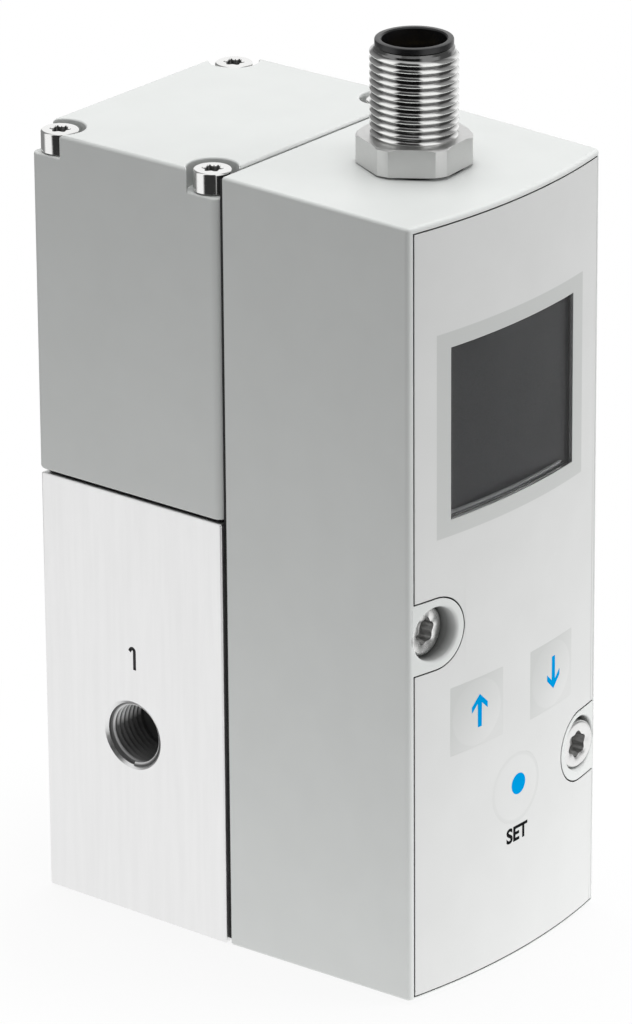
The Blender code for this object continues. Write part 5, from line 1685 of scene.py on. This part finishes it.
def lamp(name, where, size, power):
    """An area lamp aimed at the object's middle."""
    data = bpy.data.lights.new(name, "AREA")
    data.shape = "RECTANGLE"
    data.size, data.size_y = size
    data.energy = power
    item = added(name, data)
    item.location = where
    away = Vector(where) - Vector(LAMP_TARGET)
    item.rotation_euler = away.to_track_quat("Z", "Y").to_euler()
    item.visible_glossy = False


def heading(tree, spot, turn):
    """Cosine between a vector's level direction and a compass angle in degrees."""
    toward = (math.cos(math.radians(turn)), math.sin(math.radians(turn)), 0)
    level = put(tree, "ShaderNodeVectorMath", {0: spot, 1: (1, 1, 0)}, operation="MULTIPLY")
    unit = put(tree, "ShaderNodeVectorMath", {0: level.outputs[0]}, operation="NORMALIZE")
    return put(tree, "ShaderNodeVectorMath", {0: unit.outputs[0], 1: toward},
               operation="DOT_PRODUCT").outputs["Value"]


def room_tone(tree, spot):
    """What the room beyond the table sends back: white screens with darker gaps between."""
    tone = 1.0
    for turn, half, depth in ROOM_GAPS:
        edge = math.cos(math.radians(half))
        shade = ramp(tree, heading(tree, spot, turn), edge - 0.05, edge + 0.05, 1.0, 1 - depth)
        tone = maths(tree, "MULTIPLY", shade, tone)
    return tone


def by_ray(tree, mirrored, lighting):
    """White for the camera, one level for reflections and one for the light itself."""
    path = put(tree, "ShaderNodeLightPath").outputs
    camera_ray = path["Is Camera Ray"]
    mirror_ray = maths(tree, "MAXIMUM", path["Is Glossy Ray"], path["Is Transmission Ray"])
    rest = maths(tree, "SUBTRACT", 1.0, maths(tree, "MAXIMUM", camera_ray, mirror_ray))
    seen = maths(tree, "ADD", camera_ray, maths(tree, "MULTIPLY", mirror_ray, mirrored))
    return maths(tree, "ADD", seen, maths(tree, "MULTIPLY", rest, lighting))


def world():
    """Even light for the surfaces, and a white studio where it is seen."""
    made = bpy.data.worlds.new("studio")
    made.use_nodes = True
    tree = made.node_tree
    direction = put(tree, "ShaderNodeTexCoord").outputs["Generated"]
    above = ramp(tree, axes(tree, direction)["Z"], 0.8, 0.95, 0.0, 1.0)
    tone = maths(tree, "MAXIMUM", room_tone(tree, direction), above)
    feed(tree, tree.nodes["Background"], {
        "Color": (1, 1, 1, 1), "Strength": by_ray(tree, tone, WORLD_LIGHT)})
    bpy.context.scene.world = made


def floor():
    """A white table that keeps a soft shadow and lights the object's foot."""
    shape = bmesh.new()
    bmesh.ops.create_grid(shape, x_segments=2, y_segments=2, size=3.0)
    item = piece_from("floor", shape)
    for vertex in item.data.vertices:
        vertex.co.z = -0.02 * MM
    material, tree, shader, place = new_material("white table")
    away = put(tree, "ShaderNodeVectorMath", {0: place}, operation="LENGTH").outputs["Value"]
    beyond = ramp(tree, away, TABLE_EDGE - 0.03, TABLE_EDGE + 0.03, 1.0, 0.0)
    tone = maths(tree, "MAXIMUM", room_tone(tree, place), beyond)
    bounce = ramp(tree, away, 0.1, 0.3, TABLE_LIGHT, 0.1)
    glow = put(tree, "ShaderNodeEmission", {"Strength": by_ray(tree, tone, bounce)})
    feed(tree, shader, {
        "Base Color": (0.8, 0.8, 0.8, 1), "Roughness": 0.9, "Specular IOR Level": 0.0})
    seen = put(tree, "ShaderNodeLightPath").outputs["Is Camera Ray"]
    kept = ramp(tree, away, 0.045, 0.09, TABLE_SHADOW, 0.0)
    mix = put(tree, "ShaderNodeMixShader", {
        0: maths(tree, "MULTIPLY", seen, kept), 1: glow.outputs[0], 2: shader.outputs[0]})
    feed(tree, tree.nodes["Material Output"], {"Surface": mix.outputs[0]})
    item.data.materials.append(material)


class REGULATOR_OT_stage(bpy.types.Operator):
    """Sets the camera, the lamps, the world and the floor."""

    bl_idname = "regulator.stage"
    bl_label = "Stage"

    def execute(self, context):
        camera()
        world()
        floor()
        lamp("top lamp", (0.1, 0.1, 1.5), (1.1, 1.1), 19.6)
        lamp("front lamp", (0.8, -1.05, 0.2), (0.7, 0.6), 13.5)
        context.scene.view_settings.view_transform = "Standard"
        return {"FINISHED"}


class REGULATOR_PT_sidebar(bpy.types.Panel):
    """Lists the sizes, the colours and the pieces."""

    bl_idname = "REGULATOR_PT_sidebar"
    bl_label = "Regulator"
    bl_space_type = "VIEW_3D"
    bl_region_type = "UI"
    bl_category = "Regulator"

    def draw(self, context):
        for group in (context.scene.regulator_sizes, context.scene.regulator_colours):
            for item in group.bl_rna.properties:
                if item.identifier not in ("name", "rna_type"):
                    self.layout.prop(group, item.identifier)
        for step in STEPS:
            self.layout.operator(step.bl_idname)


STEPS = (REGULATOR_OT_stage, REGULATOR_OT_case, REGULATOR_OT_panel, REGULATOR_OT_keys,
         REGULATOR_OT_screws, REGULATOR_OT_connector, REGULATOR_OT_body, REGULATOR_OT_inner)


def register():
    """Registers the classes and puts the sizes and colours on the scene."""
    for item in (RegulatorSizes, RegulatorColours, *STEPS, REGULATOR_PT_sidebar):
        bpy.utils.register_class(item)
    bpy.types.Scene.regulator_sizes = bpy.props.PointerProperty(type=RegulatorSizes)
    bpy.types.Scene.regulator_colours = bpy.props.PointerProperty(type=RegulatorColours)


def unregister():
    """Takes them away again."""
    del bpy.types.Scene.regulator_colours
    del bpy.types.Scene.regulator_sizes
    for item in (REGULATOR_PT_sidebar, *reversed(STEPS), RegulatorColours, RegulatorSizes):
        bpy.utils.unregister_class(item)


def main():
    """Dresses the regulator."""
    register()
    bpy.ops.regulator.stage()
    bpy.ops.regulator.case()
    bpy.ops.regulator.panel()
    bpy.ops.regulator.keys()
    bpy.ops.regulator.screws()
    bpy.ops.regulator.connector()
    bpy.ops.regulator.body()
    bpy.ops.regulator.inner()


if __name__ == "__main__":
    main()
